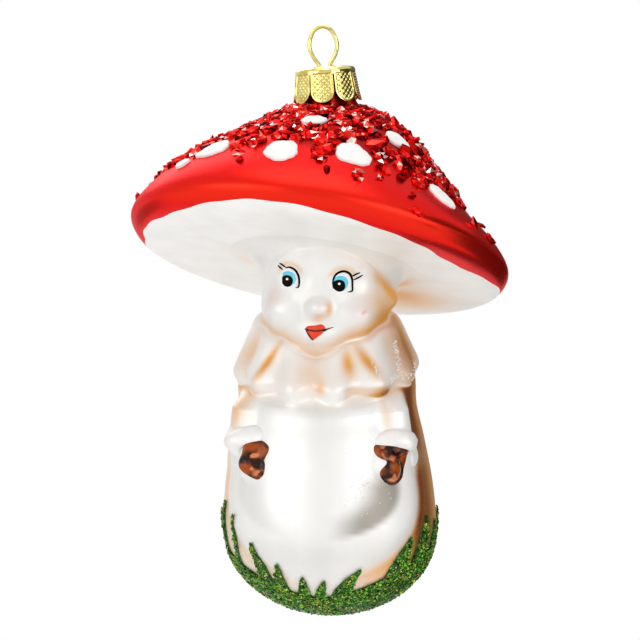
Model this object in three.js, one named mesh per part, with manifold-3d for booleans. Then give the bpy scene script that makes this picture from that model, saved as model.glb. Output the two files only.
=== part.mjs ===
// A blown-glass mushroom figure for a Christmas tree, hung by the wire of its crown cap.
// Millimetres, +Z up, the figure faces -Y. The origin is where the hook bears inside the wire loop.
import * as THREE from 'three';
import { ParametricGeometry } from 'three/addons/geometries/ParametricGeometry.js';
import { mergeVertices } from 'three/addons/utils/BufferGeometryUtils.js';
import Module from 'manifold-3d';

const wasm = await Module();
wasm.setup();

// Driving dimensions: heights are above the foot of the glass, angles in degrees.
const SEAT_GAP = 0.3; // kept between one piece and the piece that carries it
const GLASS_WALL = 0.9;

const BODY_RADIUS = 24.4;
const BODY_WIDEST = 20.5; // height of the widest ring
const BODY_HEIGHT = 52.5; // height of the waist, under the collar
const WAIST_RADIUS = 20.4;
const BODY_LEAN = -0.021; // sideways shift for each millimetre of height
const BELLY_RISE = 1; // how far the belly stands off the sides
const BELLY_LEVEL = 30; // height below which the belly's edge bends in
const BELLY_DEPTH = 19; // height of that bend
const BELLY_TURN = 63; // from the middle of the belly to its edge

const COLLAR_RADIUS = 20.7;
const COLLAR_HEIGHT = 18.5;
const COLLAR_EDGE = 4.6; // depth of the rolled hem
const COLLAR_FOLDS = 12;
const COLLAR_FOLD_DEPTH = 0.9;
const HEM_WAVE = 0.5; // how far the hem hangs lower at each fold
const HEM_DROP = 5.6; // how far the hem hangs lower in front
const NECKLINE_DROP = 7.7; // how far the neckline dips in front
const CHIN_DROP = 3; // how far it dips further under the chin
const CHIN_TURN = 16; // half width of that dip

const HEAD_RADIUS = 15.6;
const HEAD_HEIGHT = 14.6; // neckline to the level of the hat's brim
const HEAD_SHIFT = -0.2;
const FACE_ROLL = 4;
const FACE_LIFT = 8.5; // from the neckline in front up to the middle of the face
const FACE_RISE = 1.6; // how far the whole face stands off the stem
const FACE_WIDTH = 17.3; // from the middle of the face to its side, upper and lower edges
const FACE_TOP = 13.4;
const FACE_FOOT = 8.8;
const HAND_TURN = 40.5; // from the middle of the belly to each hand
const HAND_DROP = 16.3; // from the waist down to the middle of each hand

// Moulded face, in shares of the head's radius: rise, place beside and above the middle of the face,
// half width and half height.
const FACE = [
  { name: 'nose', rise: 0.15, beside: 0, above: -0.02, wide: 0.23, tall: 0.2 },
  { name: 'cheeks', rise: 0.13, beside: 0.6, above: -0.12, wide: 0.4, tall: 0.36 },
  { name: 'chin', rise: 0.1, beside: 0, above: -0.52, wide: 0.5, tall: 0.3 },
  { name: 'eyes', rise: -0.05, beside: 0.38, above: 0.38, wide: 0.28, tall: 0.25 },
];

// Moulded arms, in shares of the body's radius: rise, place above the hand, half width and half height.
// The turn outwards from the hand is in degrees.
const ARMS = [
  { name: 'sleeves', rise: 0.107, outward: 15, above: 0.44, wide: 0.26, tall: 0.53 },
  { name: 'cuffs', rise: 0.1, outward: 12, above: 0.21, wide: 0.27, tall: 0.15 },
  { name: 'wrists', rise: 0.03, outward: 29, above: 0.06, wide: 0.23, tall: 0.23 },
  { name: 'hands', rise: 0.107, outward: 0, above: 0, wide: 0.16, tall: 0.21 },
];

const HAT_RADIUS = 43.4;
const HAT_OVAL = 0.95; // front-to-back size over side-to-side size
const HAT_SHIFT = -2.4;
const HAT_EDGE = 5.4; // brim level down to the flat underside
const HAT_RISE = 31.2; // brim level up to the foot of the neck
const HAT_SWELL = 2.4; // how far the slope bulges
const HAT_LEAN_SIDE = -0.112; // slopes of the brim
const HAT_LEAN_BACK = -0.345;
const BRIM_ROUND = 3.9; // brim level up to where the slope starts

const NECK_RADIUS = 6;
const NECK_FILLET = 1.4; // how far the neck widens where it meets the hat
const NECK_HEIGHT = 7.8;
const NECK_SHIFT = -0.5;
const NECK_LEAN = 4.5;

const CAP_SHEET = 0.5;
const CAP_FLARE = 1.1; // how far the tabs spread past the rim
const CAP_DOME = 0.5;
const CAP_TABS = 8;
const CAP_SLIT = 0.5;
const CAP_RIM = 1.4; // solid band above the slits
const CAP_HOLE_RADIUS = 2.2;
const CAP_FOOT_CLEARANCE = 0.7; // tab ends to the foot of the neck

const WIRE_RADIUS = 0.5;
const LOOP_WIDTH = 7.4; // over the outside of the wire
const LOOP_HEIGHT = 9.5; // cap top to the top of the wire
const LEG_LENGTH = 14; // cap top down to the leg ends

const SPOT_RISE = 0.8;
const CHIP_RADIUS = 1.1;
const CHIP_HEIGHT = 0.9;
const CHIP_SIDES = 5;
const CRUST_BED = 0.6; // thickness of the bed that the large chips stand in
const CRUST_CHIP_RADIUS = 2.1;
const CRUST_CHIP_HEIGHT = 1.5;
const CRUST_CHIP_PITCH = 6;
const CRUST_REACH = 0.62; // share of the slope that the crust covers in front, neck to brim
const CRUST_DROOP = 0.15; // share that it covers more at the sides
const CRUST_WANDER = 0.03;

const GRASS_RISE = 0.8;
const GRASS_FRONT = 6; // height of the turf line in front and at the sides
const GRASS_SIDES = 16;
const BLADE_FRONT = 4.5; // height of the blades above that line
const BLADE_SIDES = 11.5;
const BLADES = 18;

// Raised white spots: turn from the front, share of the slope, and half width and half length
// in shares of the hat's radius.
const SPOTS = [
  [-7, 0.645, 0.09, 0.106],
  [20.5, 0.592, 0.097, 0.11],
  [-1.5, 0.32, 0.069, 0.06],
  [52.5, 0.41, 0.074, 0.074],
  [-38.5, 0.62, 0.092, 0.088],
  [-46.5, 0.75, 0.055, 0.055],
  [56, 0.705, 0.078, 0.083],
  [98, 0.6, 0.088, 0.092],
  [130, 0.36, 0.069, 0.069],
  [155, 0.68, 0.092, 0.088],
  [-168, 0.42, 0.074, 0.074],
  [-132, 0.66, 0.088, 0.088],
  [-95, 0.46, 0.074, 0.078],
];

// Single chips that fell below the crust: turn from the front and share of the slope.
const LONE_CHIPS = [
  [19, 0.78],
  [28, 0.74],
  [38, 0.83],
  [36.5, 0.97],
  [10, 0.77],
  [-20, 0.75],
  [72, 0.9],
  [118, 0.88],
  [-150, 0.78],
  [-110, 0.9],
  [178, 0.74],
  [-76, 0.88],
];

const FINISH = {
  pearl: { color: 0xece6da, roughness: 0.3, metalness: 0.1 },
  gold: { color: 0xe2d489, roughness: 0.25, metalness: 1 },
  redGlass: { color: 0xc81f1a, roughness: 0.15, metalness: 0 },
  enamel: { color: 0xf8f5f1, roughness: 0.6, metalness: 0 },
  grass: { color: 0x3f6a25, roughness: 0.5, metalness: 0.3 },
};

// Fineness of the meshes: rows are counted for each ring of a section.
const OUTSIDE_COLUMNS = 64;
const OUTSIDE_ROWS = { foot: 1, sides: 4, collar: 2, head: 4, underside: 1, slope: 1.7, neck: 1 };
const FRONT_CROWDING = 26; // how far the columns of the outside draw towards the face
const INSIDE_COLUMNS = 36;
const PATCH_SIDES = 10;
const CRUST_COLUMNS = 54;
const CRUST_BANDS = 8;
const WIRE_SIDES = 8;
const WIRE_STEPS = 52;

const { degToRad, lerp, clamp, smoothstep } = THREE.MathUtils;
const sine = (turn) => Math.sin(degToRad(turn));
const cosine = (turn) => Math.cos(degToRad(turn));

// The glass is a stack of rings. Each has a radius, a height, a sideways shift, two slopes, a front drop,
// a dip under the chin and an oval ratio, and a smooth curve joins each value from ring to ring.
const ring = (radius, height, more = {}) => ({
  radius, height, shift: 0, side: 0, back: 0, drop: 0, chin: 0, oval: 1, ...more,
});

const NECKLINE = BODY_HEIGHT + COLLAR_HEIGHT;
const BRIM_LEVEL = NECKLINE + HEAD_HEIGHT;
const UNDERSIDE = BRIM_LEVEL - HAT_EDGE;
const NECK_FOOT = BRIM_LEVEL + HAT_RISE;
const NECK_FLARE = NECK_RADIUS + NECK_FILLET;
const SLOPE_RADIUS = HAT_RADIUS - 0.75 * BRIM_ROUND;

const footRings = () => [0, 12, 28, 46, 66, 90].map((turn) =>
  ring(BODY_RADIUS * sine(turn), BODY_WIDEST * (1 - cosine(turn))));

const sideRings = () => [
  { up: 0.3, inward: 0.12, drop: 0 },
  { up: 0.62, inward: 0.55, drop: 0 },
  { up: 0.88, inward: 0.95, drop: 0.55 },
].map(({ up, inward, drop }) => ring(
  lerp(BODY_RADIUS, WAIST_RADIUS, inward),
  lerp(BODY_WIDEST, BODY_HEIGHT, up),
  { drop: drop * HEM_DROP },
));

function collarRings() {
  const hem = BODY_HEIGHT + COLLAR_EDGE;
  return [
    ring(WAIST_RADIUS, hem - 0.55 * COLLAR_EDGE, { drop: HEM_DROP }),
    ring(COLLAR_RADIUS - 0.2 * COLLAR_EDGE, hem - 0.17 * COLLAR_EDGE, { drop: HEM_DROP }),
    ring(COLLAR_RADIUS, hem + 0.45 * COLLAR_EDGE, { drop: HEM_DROP }),
    ring(
      lerp(COLLAR_RADIUS, HEAD_RADIUS, 0.42),
      lerp(hem, NECKLINE, 0.54),
      { drop: lerp(HEM_DROP, NECKLINE_DROP, 0.5), chin: 0.35 * CHIN_DROP },
    ),
    ring(1.07 * HEAD_RADIUS, lerp(hem, NECKLINE, 0.88), { drop: NECKLINE_DROP, chin: 0.8 * CHIN_DROP }),
    ring(0.94 * HEAD_RADIUS, NECKLINE, { drop: 0.95 * NECKLINE_DROP, chin: CHIN_DROP }),
  ];
}

function headRings() {
  const brow = UNDERSIDE - 0.25 * HEAD_HEIGHT;
  return [
    ring(HEAD_RADIUS, lerp(NECKLINE, UNDERSIDE, 0.19), {
      shift: HEAD_SHIFT, back: 0.1 * HAT_LEAN_BACK, drop: 0.55 * NECKLINE_DROP, chin: 0.4 * CHIN_DROP,
    }),
    ring(HEAD_RADIUS, brow, {
      shift: HEAD_SHIFT,
      side: 0.55 * HAT_LEAN_SIDE,
      back: 0.55 * HAT_LEAN_BACK,
      drop: 0.1 * NECKLINE_DROP,
    }),
    ring(1.2 * HEAD_RADIUS, lerp(brow, UNDERSIDE, 0.8), {
      shift: HEAD_SHIFT,
      side: 0.95 * HAT_LEAN_SIDE,
      back: 0.95 * HAT_LEAN_BACK,
      oval: lerp(1, HAT_OVAL, 0.4),
    }),
  ];
}

// Slopes, shift and oval of the hat, from the neck's (0) to the brim's (1). The sideways ones come late.
const leaning = (share) => ({
  shift: lerp(NECK_SHIFT, HAT_SHIFT, share ** 4),
  side: HAT_LEAN_SIDE * share ** 4,
  back: HAT_LEAN_BACK * share,
  oval: lerp(1, HAT_OVAL, share),
});

function undersideRings() {
  const flat = [0.35, 0.68].map((out) => ring(
    lerp(HEAD_RADIUS, HAT_RADIUS, out),
    UNDERSIDE,
    { ...leaning(1), shift: HAT_SHIFT * Math.min(1, 1.7 * out) },
  ));
  return [
    ...flat,
    ring(HAT_RADIUS - 0.6 * HAT_EDGE, UNDERSIDE + 0.04 * HAT_EDGE, leaning(1)),
    ring(HAT_RADIUS - 0.15 * HAT_EDGE, UNDERSIDE + 0.32 * HAT_EDGE, leaning(1)),
  ];
}

function slopeRings() {
  const edge = ring(HAT_RADIUS, BRIM_LEVEL - 0.11 * HAT_EDGE, leaning(1));
  const slope = [0, 0.16, 0.39, 0.64, 0.87, 1].map((up) => ring(
    lerp(SLOPE_RADIUS, NECK_FLARE, up),
    lerp(BRIM_LEVEL + BRIM_ROUND, NECK_FOOT, up) + HAT_SWELL * sine(180 * up ** 1.3),
    leaning(sine(90 * Math.min(1, (1 - up) / 0.85))),
  ));
  return [edge, ...slope];
}

function neckRings() {
  const lean = Math.tan(degToRad(NECK_LEAN));
  return [0.3, 0.6, 1].map((up) => ring(
    NECK_RADIUS,
    NECK_FOOT + NECK_HEIGHT * up,
    { shift: NECK_SHIFT - NECK_HEIGHT * up * lean, side: lean },
  ));
}

const onBodyAxis = (list) => list.map((one) => ({ ...one, shift: BODY_LEAN * (one.height - BODY_WIDEST) }));
const sections = {
  foot: onBodyAxis(footRings()),
  sides: onBodyAxis(sideRings()),
  collar: onBodyAxis(collarRings()),
  head: headRings(),
  underside: undersideRings(),
  slope: slopeRings(),
  neck: neckRings(),
};
const rings = Object.values(sections).flat();
const first = {};
let ringsBefore = 0;
for (const [name, list] of Object.entries(sections)) {
  first[name] = ringsBefore;
  ringsBefore += list.length;
}
const NECK_FOOT_RING = first.neck - 1;
const BRIM_RING = first.slope;

// Catmull-Rom curve through one value of the rings, at a fractional ring number.
function ringValue(key, at) {
  const low = clamp(Math.floor(at), 0, rings.length - 2);
  const t = at - low;
  const b = rings[low][key];
  const c = rings[low + 1][key];
  const a = low > 0 ? rings[low - 1][key] : 2 * b - c;
  const d = low + 2 < rings.length ? rings[low + 2][key] : 2 * c - b;
  const bend = 2 * a - 5 * b + 4 * c - d;
  const twist = 3 * b - a - 3 * c + d;
  return b + 0.5 * t * (c - a + t * (bend + t * twist));
}

// A smooth oval rise, 1 at its middle and 0 past its half width and half height.
const rise = (across, up, wide, tall) => (1 - Math.min(1, (across / wide) ** 2 + (up / tall) ** 2)) ** 2;

const total = (list, valueOf) => list.reduce((sum, one) => sum + valueOf(one), 0);

function faceRelief(arc, height) {
  const up = height - (NECKLINE - NECKLINE_DROP) - FACE_LIFT;
  const across = arc * cosine(FACE_ROLL) - up * sine(FACE_ROLL);
  const along = up * cosine(FACE_ROLL) + arc * sine(FACE_ROLL);
  const out = (across / FACE_WIDTH) ** 2 + (along / (along > 0 ? FACE_TOP : FACE_FOOT)) ** 2;
  const beside = Math.abs(across) / HEAD_RADIUS;
  const above = along / HEAD_RADIUS;
  return FACE_RISE * Math.sqrt(1 - Math.min(1, out)) + HEAD_RADIUS * total(FACE, (one) =>
    one.rise * rise(beside - one.beside, above - one.above, one.wide, one.tall));
}

function armRelief(turn, height, radius) {
  const above = (height - (BODY_HEIGHT - HAND_DROP)) / BODY_RADIUS;
  const across = (one) => degToRad(Math.abs(turn) - HAND_TURN - one.outward) * (radius / BODY_RADIUS);
  return BODY_RADIUS * total(ARMS, (one) =>
    one.rise * rise(across(one), above - one.above, one.wide, one.tall));
}

// The belly stands off the sides inside an edge that is upright above its level and bends in below it.
function bellyRelief(turn, height) {
  const below = Math.min(0, (height - BELLY_LEVEL) / BELLY_DEPTH);
  return BELLY_RISE * (1 - smoothstep(Math.hypot(turn / BELLY_TURN, below), 0.88, 1.04));
}

// 1 in a fold's valley and -1 on its ridge, with the folds drawn together and apart.
const fold = (turn) => cosine(COLLAR_FOLDS * turn + 22 * sine(2 * turn + 50) + 14 * sine(5 * turn));

// Share of the folds' depth at a ring number: none at the neckline, all of it at the hem.
function hemward(at) {
  const fromWaist = clamp((at - first.collar + 0.2) / 1.2, 0, 1);
  const fromNeckline = clamp((first.head - 0.7 - at) / 2.4, 0, 1);
  return fromWaist * fromNeckline;
}

// How far the moulded detail stands off the plain ring at a ring number and a turn from the front.
function relief(at, turn, radius, height) {
  let proud = -hemward(at) * COLLAR_FOLD_DEPTH * fold(turn);
  const onHead = at > first.head - 1.6 && at < first.underside + 0.4;
  if (onHead) proud += faceRelief(degToRad(turn) * radius, height);
  const onBody = clamp((first.collar + 0.1 - at) / 0.8, 0, 1);
  if (onBody > 0) proud += onBody * (bellyRelief(turn, height) + armRelief(turn, height, radius));
  return proud;
}

function glassPoint(at, turn, detail = relief) {
  const radius = Math.max(0, ringValue('radius', at));
  const x = radius * sine(turn);
  const y = -radius * cosine(turn) * ringValue('oval', at);
  const front = ((1 + cosine(turn)) / 2) ** 2;
  const dips = ringValue('drop', at) * front + ringValue('chin', at) * Math.exp(-((turn / CHIN_TURN) ** 2));
  const leaned = ringValue('side', at) * x + ringValue('back', at) * y;
  const height = ringValue('height', at) + leaned - dips + HEM_WAVE * hemward(at) * fold(turn);
  const grow = radius > 0.5 ? 1 + detail(at, turn, radius, height) / radius : 1;
  return new THREE.Vector3(ringValue('shift', at) + x * grow, y * grow, height);
}

function glassNormal(at, turn, detail) {
  const step = 0.02;
  const along = glassPoint(Math.min(at + step, rings.length - 1), turn, detail);
  along.sub(glassPoint(Math.max(at - step, 0), turn, detail));
  const around = glassPoint(Math.max(at, step), turn + 1, detail);
  around.sub(glassPoint(Math.max(at, step), turn - 1, detail));
  return around.cross(along).normalize();
}

// A point that stands off the glass along its normal; a negative distance lies in the glass.
function offGlass(at, turn, distance, detail) {
  const normal = at > 0 ? glassNormal(at, turn, detail) : new THREE.Vector3(0, 0, -1);
  return glassPoint(at, turn, detail).addScaledVector(normal, distance);
}

// Closes a geometry: shared points are merged, flat triangles dropped and the faces turned outwards.
function weld(geometry) {
  geometry.deleteAttribute('normal');
  geometry.deleteAttribute('uv');
  const merged = mergeVertices(geometry, 1e-4);
  const point = new THREE.Vector3();
  const corner = (index) => new THREE.Vector3().fromBufferAttribute(merged.attributes.position, index);
  const kept = [];
  let volume = 0;
  for (let i = 0; i < merged.index.count; i += 3) {
    const [a, b, c] = [0, 1, 2].map((k) => merged.index.getX(i + k));
    if (a === b || b === c || c === a) continue;
    kept.push([a, b, c]);
    volume += point.copy(corner(a)).dot(corner(b).cross(corner(c)));
  }
  merged.setIndex(kept.flatMap(([a, b, c]) => (volume > 0 ? [a, b, c] : [a, c, b])));
  return merged;
}

// A closed surface from rows of points, each row a full turn.
const closedRows = (rows, columns, pointAt) => weld(new ParametricGeometry(
  (u, v, target) => target.copy(pointAt(rows[Math.round(v * (rows.length - 1))], 360 * (u % 1) - 180)),
  columns,
  rows.length - 1,
));

function solidOf(geometry) {
  return new wasm.Manifold(new wasm.Mesh({
    numProp: 3,
    vertProperties: new Float32Array(geometry.attributes.position.array),
    triVerts: new Uint32Array(geometry.index.array),
  }));
}

function geometryOf(solid) {
  const { vertProperties, triVerts } = solid.getMesh();
  const geometry = new THREE.BufferGeometry();
  geometry.setAttribute('position', new THREE.BufferAttribute(vertProperties, 3));
  geometry.setIndex(new THREE.BufferAttribute(triVerts, 1));
  return geometry;
}

const group = new THREE.Group();

function addPiece(name, geometry, finish, parent = group) {
  const mesh = new THREE.Mesh(geometry, new THREE.MeshStandardMaterial(FINISH[finish]));
  mesh.name = name;
  parent.add(mesh);
  return mesh;
}

// One blown wall, open at the neck: the moulded outside less a smoother inside.
function glassBody() {
  const lip = rings.length - 1;
  const rows = [];
  for (const [name, list] of Object.entries(sections)) {
    const count = Math.round(list.length * OUTSIDE_ROWS[name]);
    for (let i = 0; i < count; i += 1) rows.push(first[name] + (i * list.length) / count);
  }
  const crowded = (turn) => turn - FRONT_CROWDING * sine(turn);
  const neckAxis = (height) => {
    const upright = new THREE.Vector3(0, 0, height);
    upright.applyAxisAngle(new THREE.Vector3(0, 1, 0), -degToRad(NECK_LEAN));
    return upright.add(new THREE.Vector3(NECK_SHIFT, 0, NECK_FOOT));
  };
  const outside = closedRows(
    [...rows.filter((at) => at < lip), lip, null],
    OUTSIDE_COLUMNS,
    (at, turn) => (at === null ? neckAxis(NECK_HEIGHT) : glassPoint(at, crowded(turn))),
  );
  const plain = () => 0;
  const depth = (at) => GLASS_WALL + COLLAR_FOLD_DEPTH * hemward(at);
  const insideRows = [...rings.keys()].flatMap((at) =>
    (at >= first.collar && at < first.slope ? [at, at + 0.5] : [at]));
  const inside = closedRows(
    [...insideRows, null],
    INSIDE_COLUMNS,
    (at, turn) => (at === null ? neckAxis(2 * NECK_HEIGHT) : offGlass(at, turn, -depth(at), plain)),
  );
  return geometryOf(solidOf(outside).subtract(solidOf(inside)));
}

const slopeRing = (share) => lerp(NECK_FOOT_RING, BRIM_RING, share);

// Millimetres for each degree of turn and for each ring, at a place on the hat.
function slopeScale(turn, at) {
  const around = glassPoint(at, turn + 1).distanceTo(glassPoint(at, turn - 1)) / 2;
  const along = glassPoint(at + 0.1, turn).distanceTo(glassPoint(at - 0.1, turn)) / 0.2;
  return { around, along };
}

// A round patch on the hat, given as rows of [share of its radius, distance off the glass].
function patch([turn, share, wide, long], rows, grow = 0) {
  const at = slopeRing(share);
  const halfWidth = wide * HAT_RADIUS + grow;
  const halfLength = long * HAT_RADIUS + grow;
  const { around, along } = slopeScale(turn, at);
  return closedRows(rows, PATCH_SIDES, ([out, distance], angle) => offGlass(
    at + (out * halfLength * cosine(angle)) / along,
    turn + (out * halfWidth * sine(angle)) / around,
    distance,
  ));
}

function enamelSpot(spot) {
  const domed = (out) => [out, SEAT_GAP + SPOT_RISE * Math.sqrt(1 - out * out)];
  return patch(spot, [domed(0), domed(0.55), domed(0.85), [1, SEAT_GAP], [0.5, SEAT_GAP], [0, SEAT_GAP]]);
}

// Repeatable scatter between 0 and 1 from two whole numbers.
const scatter = (i, j) => {
  const value = Math.sin(i * 12.9898 + j * 78.233) * 43758.5453;
  return value - Math.floor(value);
};

// A chip of crushed glass that stands a distance off the glass.
function glassChip([turn, share], index, radius, height, distance) {
  const geometry = new THREE.CylinderGeometry(0.55 * radius, radius, height, CHIP_SIDES);
  geometry.rotateX(Math.PI / 2);
  geometry.scale(1, 0.7 + 0.25 * scatter(index, 1), 1);
  const chip = weld(geometry);
  const at = slopeRing(share);
  const normal = glassNormal(at, turn);
  const seat = glassPoint(at, turn).addScaledVector(normal, distance + 0.5 * height);
  chip.rotateZ(2 * Math.PI * scatter(index, 2));
  chip.applyQuaternion(new THREE.Quaternion().setFromUnitVectors(new THREE.Vector3(0, 0, 1), normal));
  chip.translate(seat.x, seat.y, seat.z);
  return chip;
}

// Shares of the slope where the crust starts, clear of the cap's tabs, and where it ends,
// which is lower at the sides and wanders.
const CAP_REACH = NECK_RADIUS + SEAT_GAP + CAP_SHEET + CAP_FLARE + 2 * SEAT_GAP;
const CRUST_START = (CAP_REACH - NECK_FLARE) / (SLOPE_RADIUS - NECK_FLARE) + 0.02;
const crustEdge = (turn) => CRUST_REACH + CRUST_DROOP * sine(turn) ** 2
  + CRUST_WANDER * (1.2 * sine(3 * turn + 40) + sine(7 * turn));
const crustRing = (down, turn) => slopeRing(lerp(CRUST_START, crustEdge(turn), down));

// Places of the crust's large chips: rows a pitch apart down the slope, shaken by the scatter.
function crustChipPlaces() {
  const slope = Math.hypot(SLOPE_RADIUS - NECK_FLARE, HAT_RISE);
  const rows = Math.round((CRUST_REACH * slope) / CRUST_CHIP_PITCH);
  const places = [];
  for (let row = 0; row < rows; row += 1) {
    const down = (row + 0.6) / rows;
    const around = 2 * Math.PI * lerp(NECK_FLARE, SLOPE_RADIUS, CRUST_REACH * down);
    const count = Math.round(around / CRUST_CHIP_PITCH);
    for (let i = 0; i < count; i += 1) {
      const turn = (360 * (i + 0.5 * (row % 2) + 0.6 * (scatter(row, i) - 0.5))) / count - 180;
      const shaken = (0.4 * (scatter(i, row + 9) - 0.5) * CRUST_CHIP_PITCH) / slope;
      places.push([turn, lerp(CRUST_START, crustEdge(turn), down) + shaken]);
    }
  }
  return places;
}

// A thin bed with large chips standing in it, less what would reach into the glass
// and less the places of the white spots.
function chipCrust() {
  const bands = Array.from({ length: CRUST_BANDS + 1 }, (_, i) => i / CRUST_BANDS);
  const bed = [...bands.map((down) => [down, CRUST_BED]), ...bands.toReversed().map((down) => [down, 0])];
  const bedPoint = ([down, off], turn) => offGlass(crustRing(down, turn), turn, SEAT_GAP + off);
  let solid = solidOf(closedRows([...bed, bed[0]], CRUST_COLUMNS, bedPoint));
  crustChipPlaces().forEach((place, i) => {
    const radius = CRUST_CHIP_RADIUS * (0.85 + 0.3 * scatter(i, 4));
    const chip = glassChip(place, i, radius, CRUST_CHIP_HEIGHT, SEAT_GAP + 0.3 * CRUST_BED);
    solid = solid.add(solidOf(chip));
  });
  const insideHat = new THREE.Vector3(NECK_SHIFT, 0, BRIM_LEVEL);
  const glass = closedRows([null, -0.1, ...bands, 1.15, null], CRUST_COLUMNS, (down, turn) =>
    (down === null ? insideHat : offGlass(crustRing(down, turn), turn, 0.9 * SEAT_GAP)));
  solid = solid.subtract(solidOf(glass));
  const tall = SEAT_GAP + 2 * CRUST_CHIP_HEIGHT;
  const hole = [[0, tall], [1, tall], [1, 0], [0, 0]];
  for (const spot of SPOTS) solid = solid.subtract(solidOf(patch(spot, hole, SEAT_GAP)));
  return geometryOf(solid);
}

// Ring number at which the body reaches a height.
function bodyRingAt(height) {
  let low = 0;
  let high = first.collar;
  for (let i = 0; i < 30; i += 1) {
    const middle = (low + high) / 2;
    if (ringValue('height', middle) < height) low = middle;
    else high = middle;
  }
  return low;
}

function grassBand() {
  const sideways = (turn) => sine(Math.min(90, Math.abs(turn))) ** 2;
  const turf = (turn) => lerp(GRASS_FRONT, GRASS_SIDES, sideways(turn));
  const tip = (turn) => {
    const along = ((turn + 180) * BLADES) / 360;
    const blade = (1 - Math.abs(2 * (along % 1) - 1)) ** 1.3;
    const uneven = 0.7 + 0.5 * scatter(Math.floor(along) % BLADES, 5);
    return turf(turn) + blade * uneven * lerp(BLADE_FRONT, BLADE_SIDES, sideways(turn));
  };
  const ground = [0, 0.25, 0.5, 0.7, 0.85, 1].map((up) => ({ up, blade: 0 }));
  const blades = [0.5, 1].map((blade) => ({ up: 1, blade }));
  const outside = [...ground, ...blades].map((row) => ({ ...row, off: GRASS_RISE * (1 - 0.6 * row.blade) }));
  const inside = [...ground, ...blades].map((row) => ({ ...row, off: 0 })).reverse();
  const pointAt = ({ up, blade, off }, turn) => {
    const at = up * lerp(bodyRingAt(turf(turn)), bodyRingAt(tip(turn)), blade);
    return offGlass(at, turn, SEAT_GAP * (1 + Math.sqrt(blade)) + off);
  };
  return closedRows([...outside, ...inside], 4 * BLADES, pointAt);
}

// Cap and wire stand on the neck's own axis, with their zero height at the foot of the neck.
const CAP_SEAT = NECK_HEIGHT + SEAT_GAP;
const CAP_TOP = CAP_SEAT + CAP_SHEET;
const CAP_RADIUS = NECK_RADIUS + SEAT_GAP + CAP_SHEET;

function crownCap() {
  const foot = CAP_FOOT_CLEARANCE;
  const tabRadius = CAP_RADIUS + CAP_FLARE;
  const profile = [
    [CAP_HOLE_RADIUS, CAP_TOP + CAP_DOME],
    [0.6 * CAP_RADIUS, CAP_TOP + 0.8 * CAP_DOME],
    [CAP_RADIUS - CAP_SHEET, CAP_TOP],
    [CAP_RADIUS, CAP_TOP - CAP_SHEET],
    [CAP_RADIUS + 0.15 * CAP_FLARE, CAP_TOP - CAP_RIM],
    [tabRadius, foot],
    [tabRadius - CAP_SHEET, foot],
    [CAP_RADIUS - CAP_SHEET + 0.15 * CAP_FLARE, CAP_TOP - CAP_RIM],
    [CAP_RADIUS - CAP_SHEET, CAP_SEAT],
    [0.6 * CAP_RADIUS, CAP_SEAT + 0.8 * CAP_DOME],
    [CAP_HOLE_RADIUS, CAP_SEAT + CAP_DOME],
    [CAP_HOLE_RADIUS, CAP_TOP + CAP_DOME],
  ].map(([x, y]) => new THREE.Vector2(x, y));
  const lathe = new THREE.LatheGeometry(profile, 5 * CAP_TABS);
  lathe.rotateX(Math.PI / 2);
  let solid = solidOf(weld(lathe));
  const tabHalf = (Math.PI * tabRadius) / CAP_TABS - CAP_SLIT / 2;
  const bend = foot + tabHalf;
  const half = CAP_SLIT / 2;
  const slit = new THREE.Shape();
  slit.moveTo(-half, CAP_TOP - CAP_RIM);
  slit.lineTo(-half, bend);
  slit.absarc(-half - tabHalf, bend, tabHalf, 0, -Math.PI / 2, true);
  slit.lineTo(-half - tabHalf, foot - CAP_SHEET);
  slit.lineTo(half + tabHalf, foot - CAP_SHEET);
  slit.lineTo(half + tabHalf, foot);
  slit.absarc(half + tabHalf, bend, tabHalf, -Math.PI / 2, -Math.PI, true);
  slit.lineTo(half, CAP_TOP - CAP_RIM);
  const reach = tabRadius + CAP_SHEET;
  for (let i = 0; i < CAP_TABS; i += 1) {
    const cutter = new THREE.ExtrudeGeometry(slit, { depth: reach, bevelEnabled: false, curveSegments: 2 });
    cutter.rotateX(Math.PI / 2);
    cutter.rotateZ((2 * Math.PI * (i + 0.5)) / CAP_TABS);
    solid = solid.subtract(solidOf(weld(cutter)));
  }
  return geometryOf(solid);
}

// Round wire: a leg up through the cap's hole, over the loop and down the other leg.
function hangerWire() {
  const spread = NECK_RADIUS - GLASS_WALL - WIRE_RADIUS - SEAT_GAP;
  const throat = CAP_HOLE_RADIUS - WIRE_RADIUS - SEAT_GAP;
  const wide = LOOP_WIDTH / 2 - WIRE_RADIUS;
  const top = CAP_TOP + CAP_DOME;
  const side = [
    [spread, top - LEG_LENGTH],
    [0.8 * spread, top - 0.6 * LEG_LENGTH],
    [0.85 * throat, top - 0.2 * LEG_LENGTH],
    [0.85 * throat, top],
    [0.8 * wide, top + 0.25 * LOOP_HEIGHT],
    [wide, top + 0.52 * LOOP_HEIGHT],
    [0.66 * wide, top + 0.84 * LOOP_HEIGHT],
  ];
  const arch = [[0, top + LOOP_HEIGHT - WIRE_RADIUS]];
  const mirrored = side.map(([x, z]) => [-x, z]).reverse();
  const points = [...side, ...arch, ...mirrored].map(([x, z]) => new THREE.Vector3(x, 0, z));
  const section = new THREE.Shape();
  section.absarc(0, 0, WIRE_RADIUS, 0, 2 * Math.PI, false);
  return weld(new THREE.ExtrudeGeometry(section, {
    steps: WIRE_STEPS,
    curveSegments: WIRE_SIDES / 2,
    extrudePath: new THREE.CatmullRomCurve3(points),
  }));
}

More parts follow.
